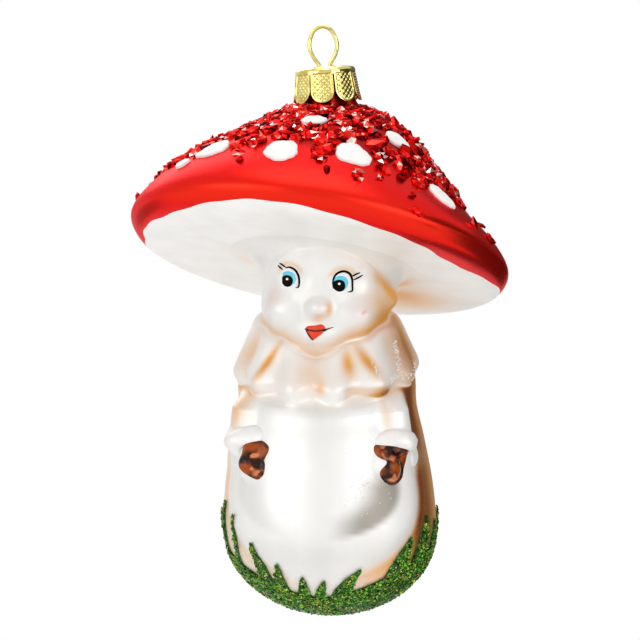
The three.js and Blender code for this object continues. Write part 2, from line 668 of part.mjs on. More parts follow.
addPiece('glass_body', glassBody(), 'pearl');
addPiece('chip_crust', chipCrust(), 'redGlass');
addPiece('grass_band', grassBand(), 'grass');
SPOTS.forEach((spot, i) => addPiece(`white_spot_${i + 1}`, enamelSpot(spot), 'enamel'));
LONE_CHIPS.forEach((place, i) => {
  const chip = glassChip(place, i, CHIP_RADIUS, CHIP_HEIGHT, SEAT_GAP);
  addPiece(`loose_chip_${i + 1}`, chip, 'redGlass');
});

const fittings = new THREE.Group();
fittings.position.set(NECK_SHIFT, 0, NECK_FOOT);
fittings.rotation.y = -degToRad(NECK_LEAN);
addPiece('crown_cap', crownCap(), 'gold', fittings);
addPiece('hanger_wire', hangerWire(), 'gold', fittings);
group.add(fittings);

// The hook bears on the inside of the loop's top: that point is the origin.
const bearing = new THREE.Vector3(0, 0, CAP_TOP + CAP_DOME + LOOP_HEIGHT - 2 * WIRE_RADIUS);
fittings.updateMatrix();
group.position.copy(bearing.applyMatrix4(fittings.matrix).negate());

export default group;
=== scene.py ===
"""Looks of a blown-glass mushroom ornament, laid out as an add-on and run as a script.

Lengths are metres. A ring number counts up the glass from its foot, a turn is in degrees from the front
(-Y) towards +X, a level is a height above the foot, and a share runs down the hat from the neck (0) to the
brim (1).
"""

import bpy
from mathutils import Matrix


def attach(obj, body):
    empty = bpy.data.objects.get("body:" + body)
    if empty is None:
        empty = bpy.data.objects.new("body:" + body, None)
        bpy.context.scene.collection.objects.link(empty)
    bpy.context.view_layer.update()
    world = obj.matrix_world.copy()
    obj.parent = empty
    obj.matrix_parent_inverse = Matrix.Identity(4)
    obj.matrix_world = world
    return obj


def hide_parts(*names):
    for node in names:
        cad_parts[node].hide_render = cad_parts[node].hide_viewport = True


bl_info = {
    "name": "Mushroom Ornament",
    "version": (1, 0, 0),
    "blender": (4, 5, 0),
    "location": "View3D > Sidebar > Mushroom",
    "description": "Builds the painted glass, the glued trim and the metal cap of a mushroom tree ornament",
    "category": "Add Mesh",
}

import math

import bpy
import numpy as np
from bpy.props import FloatProperty, FloatVectorProperty, IntProperty, PointerProperty
from mathutils import Vector

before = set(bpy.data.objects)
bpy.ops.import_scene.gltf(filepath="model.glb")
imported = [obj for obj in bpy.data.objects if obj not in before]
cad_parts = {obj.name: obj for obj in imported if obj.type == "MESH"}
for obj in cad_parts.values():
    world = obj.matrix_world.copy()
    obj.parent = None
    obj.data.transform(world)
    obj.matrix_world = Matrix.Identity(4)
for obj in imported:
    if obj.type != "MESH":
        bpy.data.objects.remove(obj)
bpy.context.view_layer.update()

MM = 0.001

# Moulded face, in shares of the head's radius: rise, place beside and above the middle, half width and half
# height.
FACE_RELIEF = (
    (0.135, 0, -0.02, 0.24, 0.21),
    (0.13, 0.6, -0.12, 0.4, 0.36),
    (0.1, 0, -0.52, 0.5, 0.3),
    (-0.05, 0.38, 0.38, 0.28, 0.25),
)

# Moulded arms, in shares of the body's radius but for the second value, the degrees outwards from the hand:
# rise, turn, place above the hand, half width, half height.
ARM_RELIEF = (
    (0.107, 15, 0.44, 0.26, 0.53),
    (0.09, 9, 0.2, 0.25, 0.15),
    (0.03, 29, 0.06, 0.23, 0.23),
    (0.107, 0, 0, 0.16, 0.21),
)

# Raised white spots on the hat: turn, share of the slope, half width and half length in shares of the hat's
# radius.
SPOTS = (
    (-7, 0.645, 0.086, 0.094),
    (20.5, 0.592, 0.094, 0.09),
    (-1.5, 0.32, 0.069, 0.06),
    (52.5, 0.41, 0.074, 0.074),
    (-38.5, 0.62, 0.092, 0.088),
    (-46.5, 0.74, 0.042, 0.038),
    (56, 0.705, 0.078, 0.083),
    (98, 0.6, 0.088, 0.092),
    (130, 0.36, 0.069, 0.069),
    (155, 0.68, 0.092, 0.088),
    (-168, 0.42, 0.074, 0.074),
    (-132, 0.66, 0.088, 0.088),
    (-95, 0.46, 0.074, 0.078),
)

# Single chips below the crust: turn and share of the slope.
LONE_CHIPS = (
    (19, 0.78), (28, 0.74), (38, 0.83), (36.5, 0.97), (10, 0.77), (-20, 0.75),
    (72, 0.9), (118, 0.88), (-150, 0.78), (-110, 0.9), (178, 0.74), (-76, 0.88),
)

# Grass blades in front: turn of the root, turn and level of the tip, half width of the root in millimetres.
FRONT_BLADES = (
    (-73, -67, 26.9, 1.1),
    (-57, -50, 24.5, 1.0),
    (-36, -37, 18.6, 2.5),
    (-27, -22, 14.2, 2.4),
    (-11.5, -9, 11.2, 2.3),
    (-1, 4, 10.3, 2.4),
    (14, 25, 13.1, 3.2),
    (50, 57, 19.6, 3.4),
    (68, 71, 23.9, 3.2),
)

# Tan strokes on the collar: turn, degrees that it moves for each millimetre up, level, half width in
# degrees, half height in millimetres, strength of the tan and of the brown.
COLLAR_STROKES = (
    (-37, 1.13, 58.9, 3.4, 4.4, 1, 0.1),
    (-62, 0.6, 61, 11, 5, 0.45, 0),
    (-3, 0, 56.5, 15, 4, 0.32, 0),
    (4, 0, 53.6, 3.2, 1.5, 0.5, 0),
    (24, 0, 58.9, 5, 3.0, 0.9, 0),
    (38, -1.2, 59.2, 4.6, 3.6, 1, 0.15),
    (82, 0.4, 62, 17, 9, 1, 0.62),
    (50, 0, 52.2, 9, 1.3, 1, 0.6),
    (-46, 0, 51.6, 10, 1.2, 0.4, 0),
)

# Dabs: strength, turn, level in millimetres, half width in degrees and half height. The nose's dabs are
# painted shade, the first dab on the cheek is a painted reflection, and the others are airbrush.
# Painted shade of the nose: beside it on the right, under it, and a painted shadow line below it.
NOSE_SHADE_DABS = (
    (0.7, 7.5, 71.4, 2.4, 1.5),
    (0.5, 1.5, 69.8, 5, 0.7),
    (0.4, -1.5, 68.7, 5, 0.45),
)
# The first cheek dab is a painted reflection, a dark fleck on the right cheek; the second is blush by the
# right eye.
CHEEK_DABS = (
    (1, 32, 70.3, 2.2, 0.7),
    (0.5, 33.5, 80.7, 4, 0.8),
)
SLEEVE_DABS = (
    (0.6, -53, 48.5, 7, 5),
    (0.35, 44.5, 47.4, 2.6, 3.4),
)
ELBOW_DABS = ((1, 72, 46.5, 7, 5),)

# Dabs that have ring numbers in place of the level and of the half height.
BROW_DABS = (
    (0.9, 140, 17.9, 20, 1.2),
    (0.8, 106, 16.5, 16, 0.8),
    (0.25, -92, 17.1, 16, 0.4),
    (0.14, 30, 16.8, 26, 0.3),
)
TUCK_DABS = ((1, 46, 9.9, 9, 0.25),)

# Eyes: turn and level of each middle, then its lid line and its lashes as points across and up from there,
# in millimetres.
EYES = (
    (
        -24.4, 78.3,
        ((-1.0, 1.95), (-0.2, 2.25), (0.7, 2.0), (1.4, 1.4), (1.85, 0.4), (2.05, -0.8), (2.0, -2.1),
         (1.3, -2.4)),
        (((-0.7, 2.1), (-1.75, 2.75), (-2.6, 3.1)), ((-1.7, 1.6), (-2.4, 2.1), (-3.1, 2.6))),
    ),
    (
        18.6, 77.4,
        ((-2.1, -1.7), (-2.1, 0.2), (-1.45, 1.7), (0, 2.35), (1.45, 1.75), (2.15, 0.4), (2.2, -1.1),
         (2.0, -2.15), (0.9, -2.4)),
        (((2.0, 1.1), (2.8, 1.6), (3.7, 2.0)), ((2.35, 0.25), (3.4, 0.8), (4.4, 1.5))),
    ),
)

# An eye's white: half width and half height in millimetres, powers of its outline above and below, and rise.
EYE_WHITE = (2.15, 2.35, 2, 5)
EYE_WHITE_RISE = 0.14

# Brush strokes of the lids and the lashes: half width and rise in millimetres.
LID_STROKE = (0.27, 0.3)
LASH_STROKE = (0.18, 0.25)

# Layers on an eye's white: radius, middle and rise in millimetres, and the share of the white that they may
# fill.
EYE_LAYERS = {
    "iris": (1.95, (-0.35, -0.3), 0.2, 0.96),
    "pupil": (1.55, (-0.7, -0.75), 0.27, 1),
    "glint": (0.38, (-0.85, -0.5), 0.36, 1),
}

# Mouth: turn and level of its middle, then for each lip the middle that its outline is drawn about, its rise
# and the outline, and for each line the half width and the points, all from there in millimetres.
MOUTH = (-1.5, 66.2)
LIPS = {
    "upper_lip": (
        (0, 0.7), 0.3,
        ((-2.25, 0.6), (-2.0, 1.1), (-1.2, 1.3), (-0.3, 1.35), (0.6, 1.58), (1.2, 1.55), (1.7, 1.0),
         (1.65, 0.45), (0.6, 0.15), (-0.6, 0.15), (-1.6, 0.3)),
    ),
    "lower_lip": (
        (0, -0.6), 0.36,
        ((-1.95, 0.25), (-0.6, 0.1), (0.6, 0.1), (1.6, 0.25), (1.25, -0.5), (0.5, -1.2), (-0.4, -1.85),
         (-1.25, -0.85)),
    ),
}
MOUTH_LINE_RISE = 0.42
MOUTH_LINES = (
    (0.2, ((-2.35, 0.62), (-1.6, 0.28), (-0.6, 0.12), (0.6, 0.12), (1.6, 0.34), (2.5, 0.62), (3.6, 1.0))),
    (0.15, ((-2.2, 0.4), (-1.45, -0.65), (-0.55, -1.75), (-0.2, -1.8))),
    (0.28, ((-2.35, 0.6), (-1.8, 0.3), (-1.2, 0.15))),
    (0.3, ((1.0, 0.1), (1.6, 0.3), (2.3, 0.55))),
)

# Lowest and highest ring number between which a place is looked for on the head, the collar and the body.
HEAD_SPAN = (13.6, 17.6)
COLLAR_SPAN = (10.4, 13.6)
BODY_SPAN = (2.0, 9.4)

# Hands: turn and level of each middle, outline of the mitten, middle that the outline is drawn about, and
# middle line of the cuff, all from there in millimetres.
HANDS = (
    (
        -35.2, 37.4,
        ((-2.9, 3.5), (-1.0, 4.3), (1.2, 4.1), (3.0, 3.1), (3.2, 1.9), (2.6, 0.7), (2.3, -0.2), (2.6, -1.5),
         (2.3, -3.5), (0.8, -4.6), (-0.8, -3.9), (-2.4, -1.9), (-2.9, 0.8)),
        (0.0, 0.0),
        ((1.2, 4.7), (-2.0, 5.2), (-4.6, 4.1), (-6.1, 1.6), (-5.9, -1.9)),
    ),
    (
        44.0, 36.4,
        ((-4.1, 3.4), (-3.4, 4.6), (-0.7, 4.7), (1.7, 4.4), (3.4, 3.4), (4.1, 1.35), (3.4, -1.0),
         (2.4, -3.4), (0.0, -4.7), (-2.2, -4.05), (-3.5, -2.4), (-3.5, -1.0), (-2.6, 0.3), (-2.4, 1.1),
         (-3.6, 1.9)),
        (-0.3, 1.2),
        ((-3.6, 4.8), (1.2, 5.7), (5.2, 4.5), (7.5, 2.0), (7.2, -1.2)),
    ),
)

# Rise of a mitten, and half width, rise and power of the taper of a cuff's stroke, in millimetres.
MITTEN_RISE = 0.6
CUFF_STROKE = (2.3, 0.7, 3)

# Frost along the collar's ridges: grains, lowest and highest level, turn, level of that turn, degrees that
# it moves for each millimetre up, and spread in degrees.
FROST_RIDGES = (
    (90, 57, 63.4, 64, 57.8, 0.95, 1.1),
    (36, 55.4, 59.2, 42.5, 57, -0.6, 1.0),
)

# Frost on the collar's hem: grains, first and last turn, ring and its spread. Frost on the belly: grains,
# turn and its spread, level and its spread. Then the half sizes of the smallest and the largest grain.
FROST_HEM = (170, 52, 98, 10.7, 0.2)
FROST_BELLY = (70, 27, 7, 31, 2.6)
GRAIN_SIZES = (0.1 * MM, 0.21 * MM)

# Columns round the glass, rows from mark to mark up its outside, and rows down its inside.
SHELL_COLUMNS = 240
SHELL_ROWS = (48, 54, 68, 70, 42, 34, 8)
INNER_ROWS = 50

# Columns, rows and sides of the other pieces, and steps along each stretch of a curve.
TAB_COLUMNS, CAP_ROWS = 61, 64
WIRE_STEPS, WIRE_SIDES = 16, 20
STROKE_STEPS, STROKE_SIDES = 14, 10
OUTLINE_STEPS = 12
TURF_COLUMNS, TURF_ROWS = 160, 30
BLADE_ROWS, BLADE_SIDES = 18, 16

# Angles round a painted outline, and shares of its radius from the middle of a spot to its edge.
ROUND = np.linspace(0, 2 * math.pi, 64, endpoint=False)
SPOT_SHARES = np.array([0, 0.2, 0.4, 0.6, 0.75, 0.87, 0.95, 0.99, 1])

# Tones of the chips, the glitter and the frost.
TONES = ("Deep", "Middle", "Bright", "Glint")

# How deep the underside of a glued or painted piece lies in the glass.
SUNK = 0.1 * MM

# Camera: degrees to the right and above, distance, width of the picture at the figure, and the point that it
# looks at, beside and above the foot.
CAMERA_RIGHT, CAMERA_ABOVE = 8, 4
CAMERA_DISTANCE = 0.8
PICTURE_WIDTH = 147.2 * MM
PICTURE_MIDDLE = (-2.3 * MM, 67.6 * MM)

# Level of the middle of the figure, and soft boxes: name, place from that middle, side and watts.
FIGURE_MIDDLE = 0.07
LAMPS = (
    ("key_light", (-0.65, -0.78, 0.22), 0.7, 2.65),
    ("fill_light", (0.8, -0.62, 0.1), 0.7, 3.2),
    ("back_light", (-0.42, 0.82, 0.66), 0.8, 4.2),
    ("top_light", (0.05, -0.1, 1.0), 0.8, 4.5),
)

# Level of the floor, and grey cards that only mirrors see: name, first and last turn, grey, and a profile of
# radius and level.
FLOOR_LEVEL = -0.1
CARD_LEVEL = -0.098
CARDS = (
    ("low_right", (84, 163), 0.02, ((0.18, CARD_LEVEL), (0.6, CARD_LEVEL), (0.6, 0.032))),
    ("far_right", (140, 178), 0.14, ((0.6, 0.032), (0.6, 0.482))),
    ("mid_right", (96, 140), 0.1, ((0.6, 0.032), (0.6, 0.302))),
    ("foot_right", (112, 178), 0.05, ((0.07, CARD_LEVEL), (0.18, CARD_LEVEL))),
    ("high_right", (64, 112), 0.02, ((0.3, 0.10435), (0.3, 0.25435))),
    ("near_right", (61, 70), 0.02, ((0.3, CARD_LEVEL), (0.5, CARD_LEVEL))),
    ("low_left", (-142, -102), 0.3, ((0.3, CARD_LEVEL), (0.62, CARD_LEVEL))),
)


def length(name, millimetres, description):
    """A length property, given in millimetres."""
    return FloatProperty(
        name=name, description=description, default=millimetres * MM, unit="LENGTH", precision=5
    )


def angle(name, degrees, description):
    """An angle property, given in degrees and kept in radians."""
    return FloatProperty(name=name, description=description, default=math.radians(degrees), subtype="ANGLE")


def ratio(name, value, description):
    """A plain ratio."""
    return FloatProperty(name=name, description=description, default=value, precision=4)


def count(name, value, description):
    """A whole number."""
    return IntProperty(name=name, description=description, default=value, min=1)


def paint(name, red, green, blue, description):
    """A colour property, given in the display's 0 to 255 steps."""
    steps = np.array([red, green, blue]) / 255
    linear = np.where(steps <= 0.04045, steps / 12.92, ((steps + 0.055) / 1.055) ** 2.4)
    return FloatVectorProperty(
        name=name, description=description, default=linear.tolist(), subtype="COLOR", size=3, min=0, max=1
    )


class MushroomForm(bpy.types.PropertyGroup):
    """Sizes of the blown glass."""

    glass_wall: length("Glass wall", 0.9, "Thickness of the blown wall")
    body_radius: length("Body radius", 24.4, "Radius of the widest ring of the body")
    body_widest: length("Widest level", 20.5, "Height of the widest ring above the foot")
    body_height: length("Body height", 52.5, "Height of the waist under the collar")
    waist_radius: length("Waist radius", 20.4, "Radius of the waist")
    body_lean: ratio("Body lean", -0.021, "Sideways shift for each length of height")
    collar_radius: length("Collar radius", 20.7, "Radius of the collar's hem")
    collar_height: length("Collar height", 18.5, "Waist to neckline")
    collar_edge: length("Collar edge", 4.6, "Depth of the rolled hem")
    collar_folds: count("Collar folds", 12, "Folds round the collar")
    collar_fold_depth: length("Fold depth", 0.9, "Half the height of a fold")
    hem_wave: length("Hem wave", 0.5, "How far the hem hangs lower at each fold")
    hem_drop: length("Hem drop", 5.6, "How far the hem hangs lower in front")
    neckline_drop: length("Neckline drop", 7.7, "How far the neckline dips in front")
    chin_drop: length("Chin drop", 3, "How far the neckline dips further under the chin")
    chin_turn: angle("Chin turn", 16, "Half width of that dip")
    belly_rise: length("Belly rise", 1, "How far the belly stands off the sides")
    belly_level: length("Belly level", 30, "Height below which the belly's edge bends in")
    belly_depth: length("Belly depth", 19, "Height of that bend")
    belly_turn: angle("Belly turn", 63, "Middle of the belly round to its edge")
    head_radius: length("Head radius", 15.6, "Radius of the head")
    head_height: length("Head height", 14.6, "Neckline to the level of the brim")
    head_shift: length("Head shift", -0.2, "Sideways place of the head")
    face_roll: angle("Face roll", 4, "How far the face is rolled to the side")
    face_rise: length("Face rise", 1.6, "How far the whole face stands off the stem")
    face_width: length("Face width", 17.3, "Middle of the face to its side edge")
    face_top: length("Face top", 13.4, "Middle of the face to its upper edge")
    face_foot: length("Face foot", 8.8, "Middle of the face to its lower edge")
    face_lift: length("Face lift", 8.5, "Neckline in front to the middle of the face")
    hand_turn: angle("Hand turn", 40.5, "Middle of the belly round to each hand")
    hand_drop: length("Hand drop", 16.3, "Waist down to the middle of each hand")
    hat_radius: length("Hat radius", 43.27, "Radius of the brim from side to side")
    hat_oval: ratio("Hat oval", 0.95, "Front-to-back size over side-to-side size")
    hat_shift: length("Hat shift", -2.4, "Sideways place of the brim")
    hat_edge: length("Hat edge", 5.4, "Brim level down to the flat underside")
    hat_rise: length("Hat rise", 31.2, "Brim level up to the foot of the neck")
    hat_swell: length("Hat swell", 2.4, "How far the slope bulges")
    hat_lean_side: ratio("Hat lean", -0.112, "Sideways slope of the brim")
    hat_lean_back: ratio("Hat tilt", -0.345, "Backward slope of the brim")
    brim_round: length("Brim round", 3.9, "Brim level up to where the slope starts")
    neck_radius: length("Neck radius", 6, "Radius of the neck under the cap")
    neck_fillet: length("Neck fillet", 1.4, "How far the neck widens at its foot")
    neck_height: length("Neck height", 7.8, "Foot of the neck to its lip")
    neck_shift: length("Neck shift", -0.5, "Sideways place of the neck")
    neck_lean: angle("Neck lean", 4.5, "Lean of the neck to the side")


class MushroomTrim(bpy.types.PropertyGroup):
    """Sizes and counts of what is glued on or stands on the glass."""

    spot_rise: length("Spot rise", 0.8, "Thickness of an enamel spot")
    spot_seed: count("Spot seed", 5, "Seed of the spots' uneven edges")
    chip_length: length("Chip length", 1.3, "Mean half length of a glass chip")
    chip_count: count("Chips", 3300, "Places tried for the small glass chips")
    chip_pitch: length("Chip pitch", 6, "Distance between two large chips of the crust")
    chip_large: length("Large chip", 2.1, "Half length of a large chip of the crust")
    chip_seed: count("Chip seed", 7, "Seed of the chips' scatter")
    crust_share: ratio("Crust share", 0.62, "Share of the slope that the crust covers in front")
    turf_rise: length("Turf rise", 0.55, "Thickness of the glue under the glitter")
    turf_front: length("Turf front", 6, "Level of the turf line in front")
    turf_sides: length("Turf sides", 16, "Level of the turf line at the sides")
    flake_size: length("Flake size", 0.22, "Half width of a glitter flake")
    flake_count: count("Flakes", 16000, "Glitter flakes on the grass")
    flake_seed: count("Flake seed", 3, "Seed of the glitter's scatter")
    frost_seed: count("Frost seed", 21, "Seed of the frost grains' scatter")
    cap_sheet: length("Cap sheet", 0.5, "Thickness of the cap's sheet metal")
    cap_flare: length("Cap flare", 1.1, "How far the tabs spread past the rim")
    cap_dome: length("Cap dome", 0.5, "Rise of the cap's top")
    cap_tabs: count("Cap tabs", 8, "Tabs round the cap")
    cap_slit: length("Cap slit", 0.5, "Gap between two tabs")
    cap_rim: length("Cap rim", 1.4, "Solid band above the slits")
    cap_hole: length("Cap hole", 2.2, "Radius of the hole in the cap")
    cap_clearance: length("Cap clearance", 0.7, "Tab ends to the foot of the neck")
    cap_dot: length("Cap dot", 1.25, "Pitch of the embossed dots")
    cap_emboss: length("Cap emboss", 0.22, "Depth of the embossed field")
    seat_gap: length("Seat gap", 0.3, "Gap between the cap and the neck")
    wire_radius: length("Wire radius", 0.5, "Radius of the hanger wire")
    wire_share: ratio("Wire share", 0.9, "Thickness of the drawn wire over that of the laid-out wire")
    loop_width: length("Loop width", 7.4, "Width over the outside of the loop")
    loop_height: length("Loop height", 9.5, "Cap top to the top of the loop")
    leg_length: length("Leg length", 14, "Cap top down to the ends of the legs")


class MushroomPaint(bpy.types.PropertyGroup):
    """Colours of the paints, the glass chips, the glitter and the metal."""

    red: paint("Red lacquer", 242, 24, 6, "Lacquer of the hat")
    red_deep: paint("Deep red", 186, 10, 10, "Lacquer where it lies thick")
    # Orange red for a painted reflection low on the front of the brim.
    red_brim_reflection: paint("Red brim reflection", 250, 44, 16, "Painted reflection in orange red, low on the front of the brim")
    # Dark red for painted shade on the glue between the chips.
    glue_shade_red: paint("Shaded glue bed", 112, 4, 8, "Painted shade on the lacquer and glue between the glass chips")
    pearl: paint("Pearl", 250, 249, 246, "Pearl white of the figure")
    pearl_dull: paint("Dull pearl", 228, 225, 219, "Pearl white where it lies thin")
    tan: paint("Tan spray", 234, 162, 48, "Airbrushed tan")
    umber: paint("Umber spray", 116, 52, 6, "Airbrushed brown")
    blush: paint("Blush spray", 244, 190, 192, "Blush of the cheeks")
    enamel: paint("White enamel", 250, 248, 244, "Spots, cuffs and eyes")
    enamel_dull: paint("Dull enamel", 236, 234, 232, "White enamel in its hollows")
    ink: paint("Black enamel", 6, 5, 5, "Eye outlines and pupils")
    ink_pale: paint("Thin black", 20, 14, 12, "Black enamel where it lies thin")
    iris: paint("Iris", 52, 190, 222, "Blue of the eyes")
    iris_pale: paint("Pale iris", 128, 218, 238, "Blue of the eyes near the lid")
    lip: paint("Lip", 228, 74, 6, "Orange red of the upper lip")
    lip_pale: paint("Lower lip", 234, 62, 46, "Pink red of the lower lip")
    lip_line: paint("Lip line", 120, 22, 8, "Brown red between the lips")
    mitten: paint("Mitten", 160, 72, 16, "Amber of the hands")
    mitten_deep: paint("Deep mitten", 40, 10, 4, "Brown where the lacquer lies thick")
    mitten_glint: paint("Mitten glint", 226, 134, 84, "Amber where it lets the light through")
    chip: paint("Red chip", 214, 22, 18, "Crushed glass")
    # Painted dark reflection on the darkest facets of the chips.
    chip_dark_reflection: paint("Deep chip", 96, 4, 8, "Painted dark reflection on the darkest facets of the crushed glass")
    chip_bright: paint("Bright chip", 246, 70, 58, "Crushed glass at its lit edges")
    chip_glint: paint("Chip glint", 255, 224, 218, "Facets that catch the light")
    grass: paint("Grass", 52, 122, 26, "Glitter")
    grass_deep: paint("Deep grass", 26, 42, 12, "Glue between the glitter")
    grass_bright: paint("Bright grass", 136, 198, 54, "Glitter that catches the light")
    grass_gold: paint("Gold fleck", 214, 182, 100, "Gold flecks among the glitter")
    gold: paint("Gold", 246, 232, 150, "Plated cap and wire")
    gold_dull: paint("Dull gold", 206, 184, 98, "Plate where it has tarnished")
    # Grey laid on as painted shade and painted reflection, where silver also shows through thin pearl.
    shade_grey_silver: paint("Silver and painted shade", 146, 138, 126, "Grey of silver under thin pearl, laid on as painted shade and painted reflection")
    silver: paint("Silver", 214, 214, 212, "Silvered inside of the glass")
    silver_dull: paint("Dull silver", 188, 188, 186, "Silver where it lies thin")


def bell(value, middle, width):
    """Smooth bump: exp(-((value - middle) / width) squared)."""
    return np.exp(-(((value - middle) / width) ** 2))


def step(value, low, high):
    """Smooth step from 0 at low to 1 at high: t squared times (3 - 2 t)."""
    t = np.clip((value - low) / (high - low), 0, 1)
    return t * t * (3 - 2 * t)


def lerp(a, b, t):
    """a at t = 0 and b at t = 1, straight between."""
    return a + (b - a) * t


def with_ends(points):
    """Points with one more at each end, which carries the first or last stretch straight on."""
    return np.vstack([2 * points[0] - points[1], points, 2 * points[-1] - points[-2]])


def catmull_rom(points, at):
    """Catmull-Rom curve through points that have their ends, at fractional point numbers."""
    low = np.clip(np.floor(at).astype(int), 0, len(points) - 4)
    t = (at - low)[..., None]
    a, b, c, d = (points[low + i] for i in range(4))
    bend = 2 * a - 5 * b + 4 * c - d
    twist = 3 * b - a - 3 * c + d
    return b + 0.5 * t * (c - a + t * (bend + t * twist))


def smooth_path(points, steps):
    """Catmull-Rom curve through points, with steps for each stretch."""
    stretches = len(points) - 1
    return catmull_rom(with_ends(points), np.linspace(0, stretches, steps * stretches + 1))


def sideways(line):
    """Unit vectors across a flat line of points, a quarter turn from its direction."""
    along = np.gradient(line, axis=0)
    along /= np.linalg.norm(along, axis=1, keepdims=True)
    return np.stack([-along[:, 1], along[:, 0]], -1)


def ring(radius, height, shift=0, side=0, back=0, drop=0, oval=1, chin=0):
    """Values of one ring of the glass, in the order in which they are kept."""
    return [radius, height, shift, side, back, drop, oval, chin]


class BlownGlass:
    """The glass wall as one formula.

    Each ring has a radius r, a height, a sideways shift, two slopes, a front drop, an oval ratio and a chin
    dip, and a Catmull-Rom curve joins each value from ring to ring. At a turn t of a ring, x = r sin t,
    y = -r cos t oval and z = height + side x + back y, less drop ((1 + cos t) / 2) squared and less
    chin exp(-(t / chin turn) squared). The hem also waves with the folds. The relief then grows x and y, and
    the shift is added to x. The part's origin is the bearing point in the wire loop.
    """

    SIDES, COLLAR, HEAD, UNDERSIDE, BRIM, NECK, LIP = 6, 9, 15, 18, 22, 29, 31

    def __init__(self, scene):
        self.form = form = scene.mushroom_form
        trim = scene.mushroom_trim
        self.neckline = form.body_height + form.collar_height
        self.brim_level = self.neckline + form.head_height
        self.underside = self.brim_level - form.hat_edge
        self.neck_foot = self.brim_level + form.hat_rise
        self.neck_flare = form.neck_radius + form.neck_fillet
        self.slope_radius = form.hat_radius - 0.75 * form.brim_round
        self.cap_seat = form.neck_height + trim.seat_gap
        self.cap_top = self.cap_seat + trim.cap_sheet
        body = np.array(self.foot_rings() + self.side_rings() + self.collar_rings())
        body[:, 2] = form.body_lean * (body[:, 1] - form.body_widest)
        hat = self.head_rings() + self.underside_rings() + self.slope_rings() + self.neck_rings()
        self.rings = with_ends(np.vstack([body, np.array(hat)]))
        bearing = self.cap_top + trim.cap_dome + trim.loop_height - 2 * trim.wire_radius
        self.origin = np.zeros(3)
        self.origin = self.on_neck(np.array([0, 0, bearing]))

    def foot_rings(self):
        """Quarter of an ellipse from the foot to the widest ring."""
        form = self.form
        turns = np.radians([0, 12, 28, 46, 66, 90])
        return [ring(form.body_radius * math.sin(t), form.body_widest * (1 - math.cos(t))) for t in turns]

    def side_rings(self):
        """Rings that draw in from the widest ring to the waist."""
        form = self.form
        return [
            ring(
                lerp(form.body_radius, form.waist_radius, inward),
                lerp(form.body_widest, form.body_height, up),
                drop=drop * form.hem_drop,
            )
            for up, inward, drop in ((0.3, 0.12, 0), (0.62, 0.55, 0), (0.88, 0.95, 0.55))
        ]

    def collar_rings(self):
        """Rolled hem, sloping collar and neckline."""
        form = self.form
        hem = form.body_height + form.collar_edge
        drop, dip, edge = form.hem_drop, form.neckline_drop, form.collar_edge
        middle = lerp(form.collar_radius, form.head_radius, 0.42)
        rise = self.neckline - hem
        return [
            ring(form.waist_radius, hem - 0.55 * edge, drop=drop),
            ring(form.collar_radius - 0.2 * edge, hem - 0.17 * edge, drop=drop),
            ring(form.collar_radius, hem + 0.45 * edge, drop=drop),
            ring(middle, hem + 0.54 * rise, drop=lerp(drop, dip, 0.5), chin=0.35 * form.chin_drop),
            ring(1.07 * form.head_radius, hem + 0.88 * rise, drop=dip, chin=0.8 * form.chin_drop),
            ring(0.94 * form.head_radius, self.neckline, drop=0.95 * dip, chin=form.chin_drop),
        ]

    def head_rings(self):
        """Upright head that starts to lean with the hat at the brow."""
        form = self.form
        brow = self.underside - 0.25 * form.head_height
        side, back, shift = form.hat_lean_side, form.hat_lean_back, form.head_shift
        dip = form.neckline_drop
        jaw = lerp(self.neckline, self.underside, 0.19)
        crease = lerp(brow, self.underside, 0.8)
        oval = lerp(1, form.hat_oval, 0.4)
        return [
            ring(form.head_radius, jaw, shift, 0, 0.1 * back, 0.55 * dip, chin=0.4 * form.chin_drop),
            ring(form.head_radius, brow, shift, 0.55 * side, 0.55 * back, 0.1 * dip),
            ring(1.2 * form.head_radius, crease, shift, 0.95 * side, 0.95 * back, oval=oval),
        ]

    def leaning(self, share):
        """Shift, slopes and oval of the hat from neck (0) to brim (1): the sideways ones come late."""
        form = self.form
        return {
            "shift": lerp(form.neck_shift, form.hat_shift, share**4),
            "side": form.hat_lean_side * share**4,
            "back": form.hat_lean_back * share,
            "oval": lerp(1, form.hat_oval, share),
        }

    def underside_rings(self):
        """Flat underside of the hat and the lower half of its rounded edge."""
        form = self.form
        flat = [
            ring(
                lerp(form.head_radius, form.hat_radius, out),
                self.underside,
                **{**self.leaning(1), "shift": form.hat_shift * min(1, 1.7 * out)},
            )
            for out in (0.35, 0.68)
        ]
        lower = [
            ring(
                form.hat_radius - inward * form.hat_edge,
                self.underside + up * form.hat_edge,
                **self.leaning(1),
            )
            for inward, up in ((0.6, 0.04), (0.15, 0.32))
        ]
        return flat + lower

    def slope_rings(self):
        """Edge of the brim and the swelling slope up to the foot of the neck."""
        form = self.form
        rings = [ring(form.hat_radius, self.brim_level - 0.11 * form.hat_edge, **self.leaning(1))]
        for up in (0, 0.16, 0.39, 0.64, 0.87, 1):
            swell = form.hat_swell * math.sin(math.pi * up**1.3)
            level = lerp(self.brim_level + form.brim_round, self.neck_foot, up) + swell
            lean = math.sin(math.pi / 2 * min(1, (1 - up) / 0.85))
            rings.append(ring(lerp(self.slope_radius, self.neck_flare, up), level, **self.leaning(lean)))
        return rings

    def neck_rings(self):
        """Short straight neck on its own leaning axis."""
        form = self.form
        lean = math.tan(form.neck_lean)
        rises = [form.neck_height * up for up in (0.3, 0.6, 1)]
        return [
            ring(form.neck_radius, self.neck_foot + rise, form.neck_shift - rise * lean, lean)
            for rise in rises
        ]

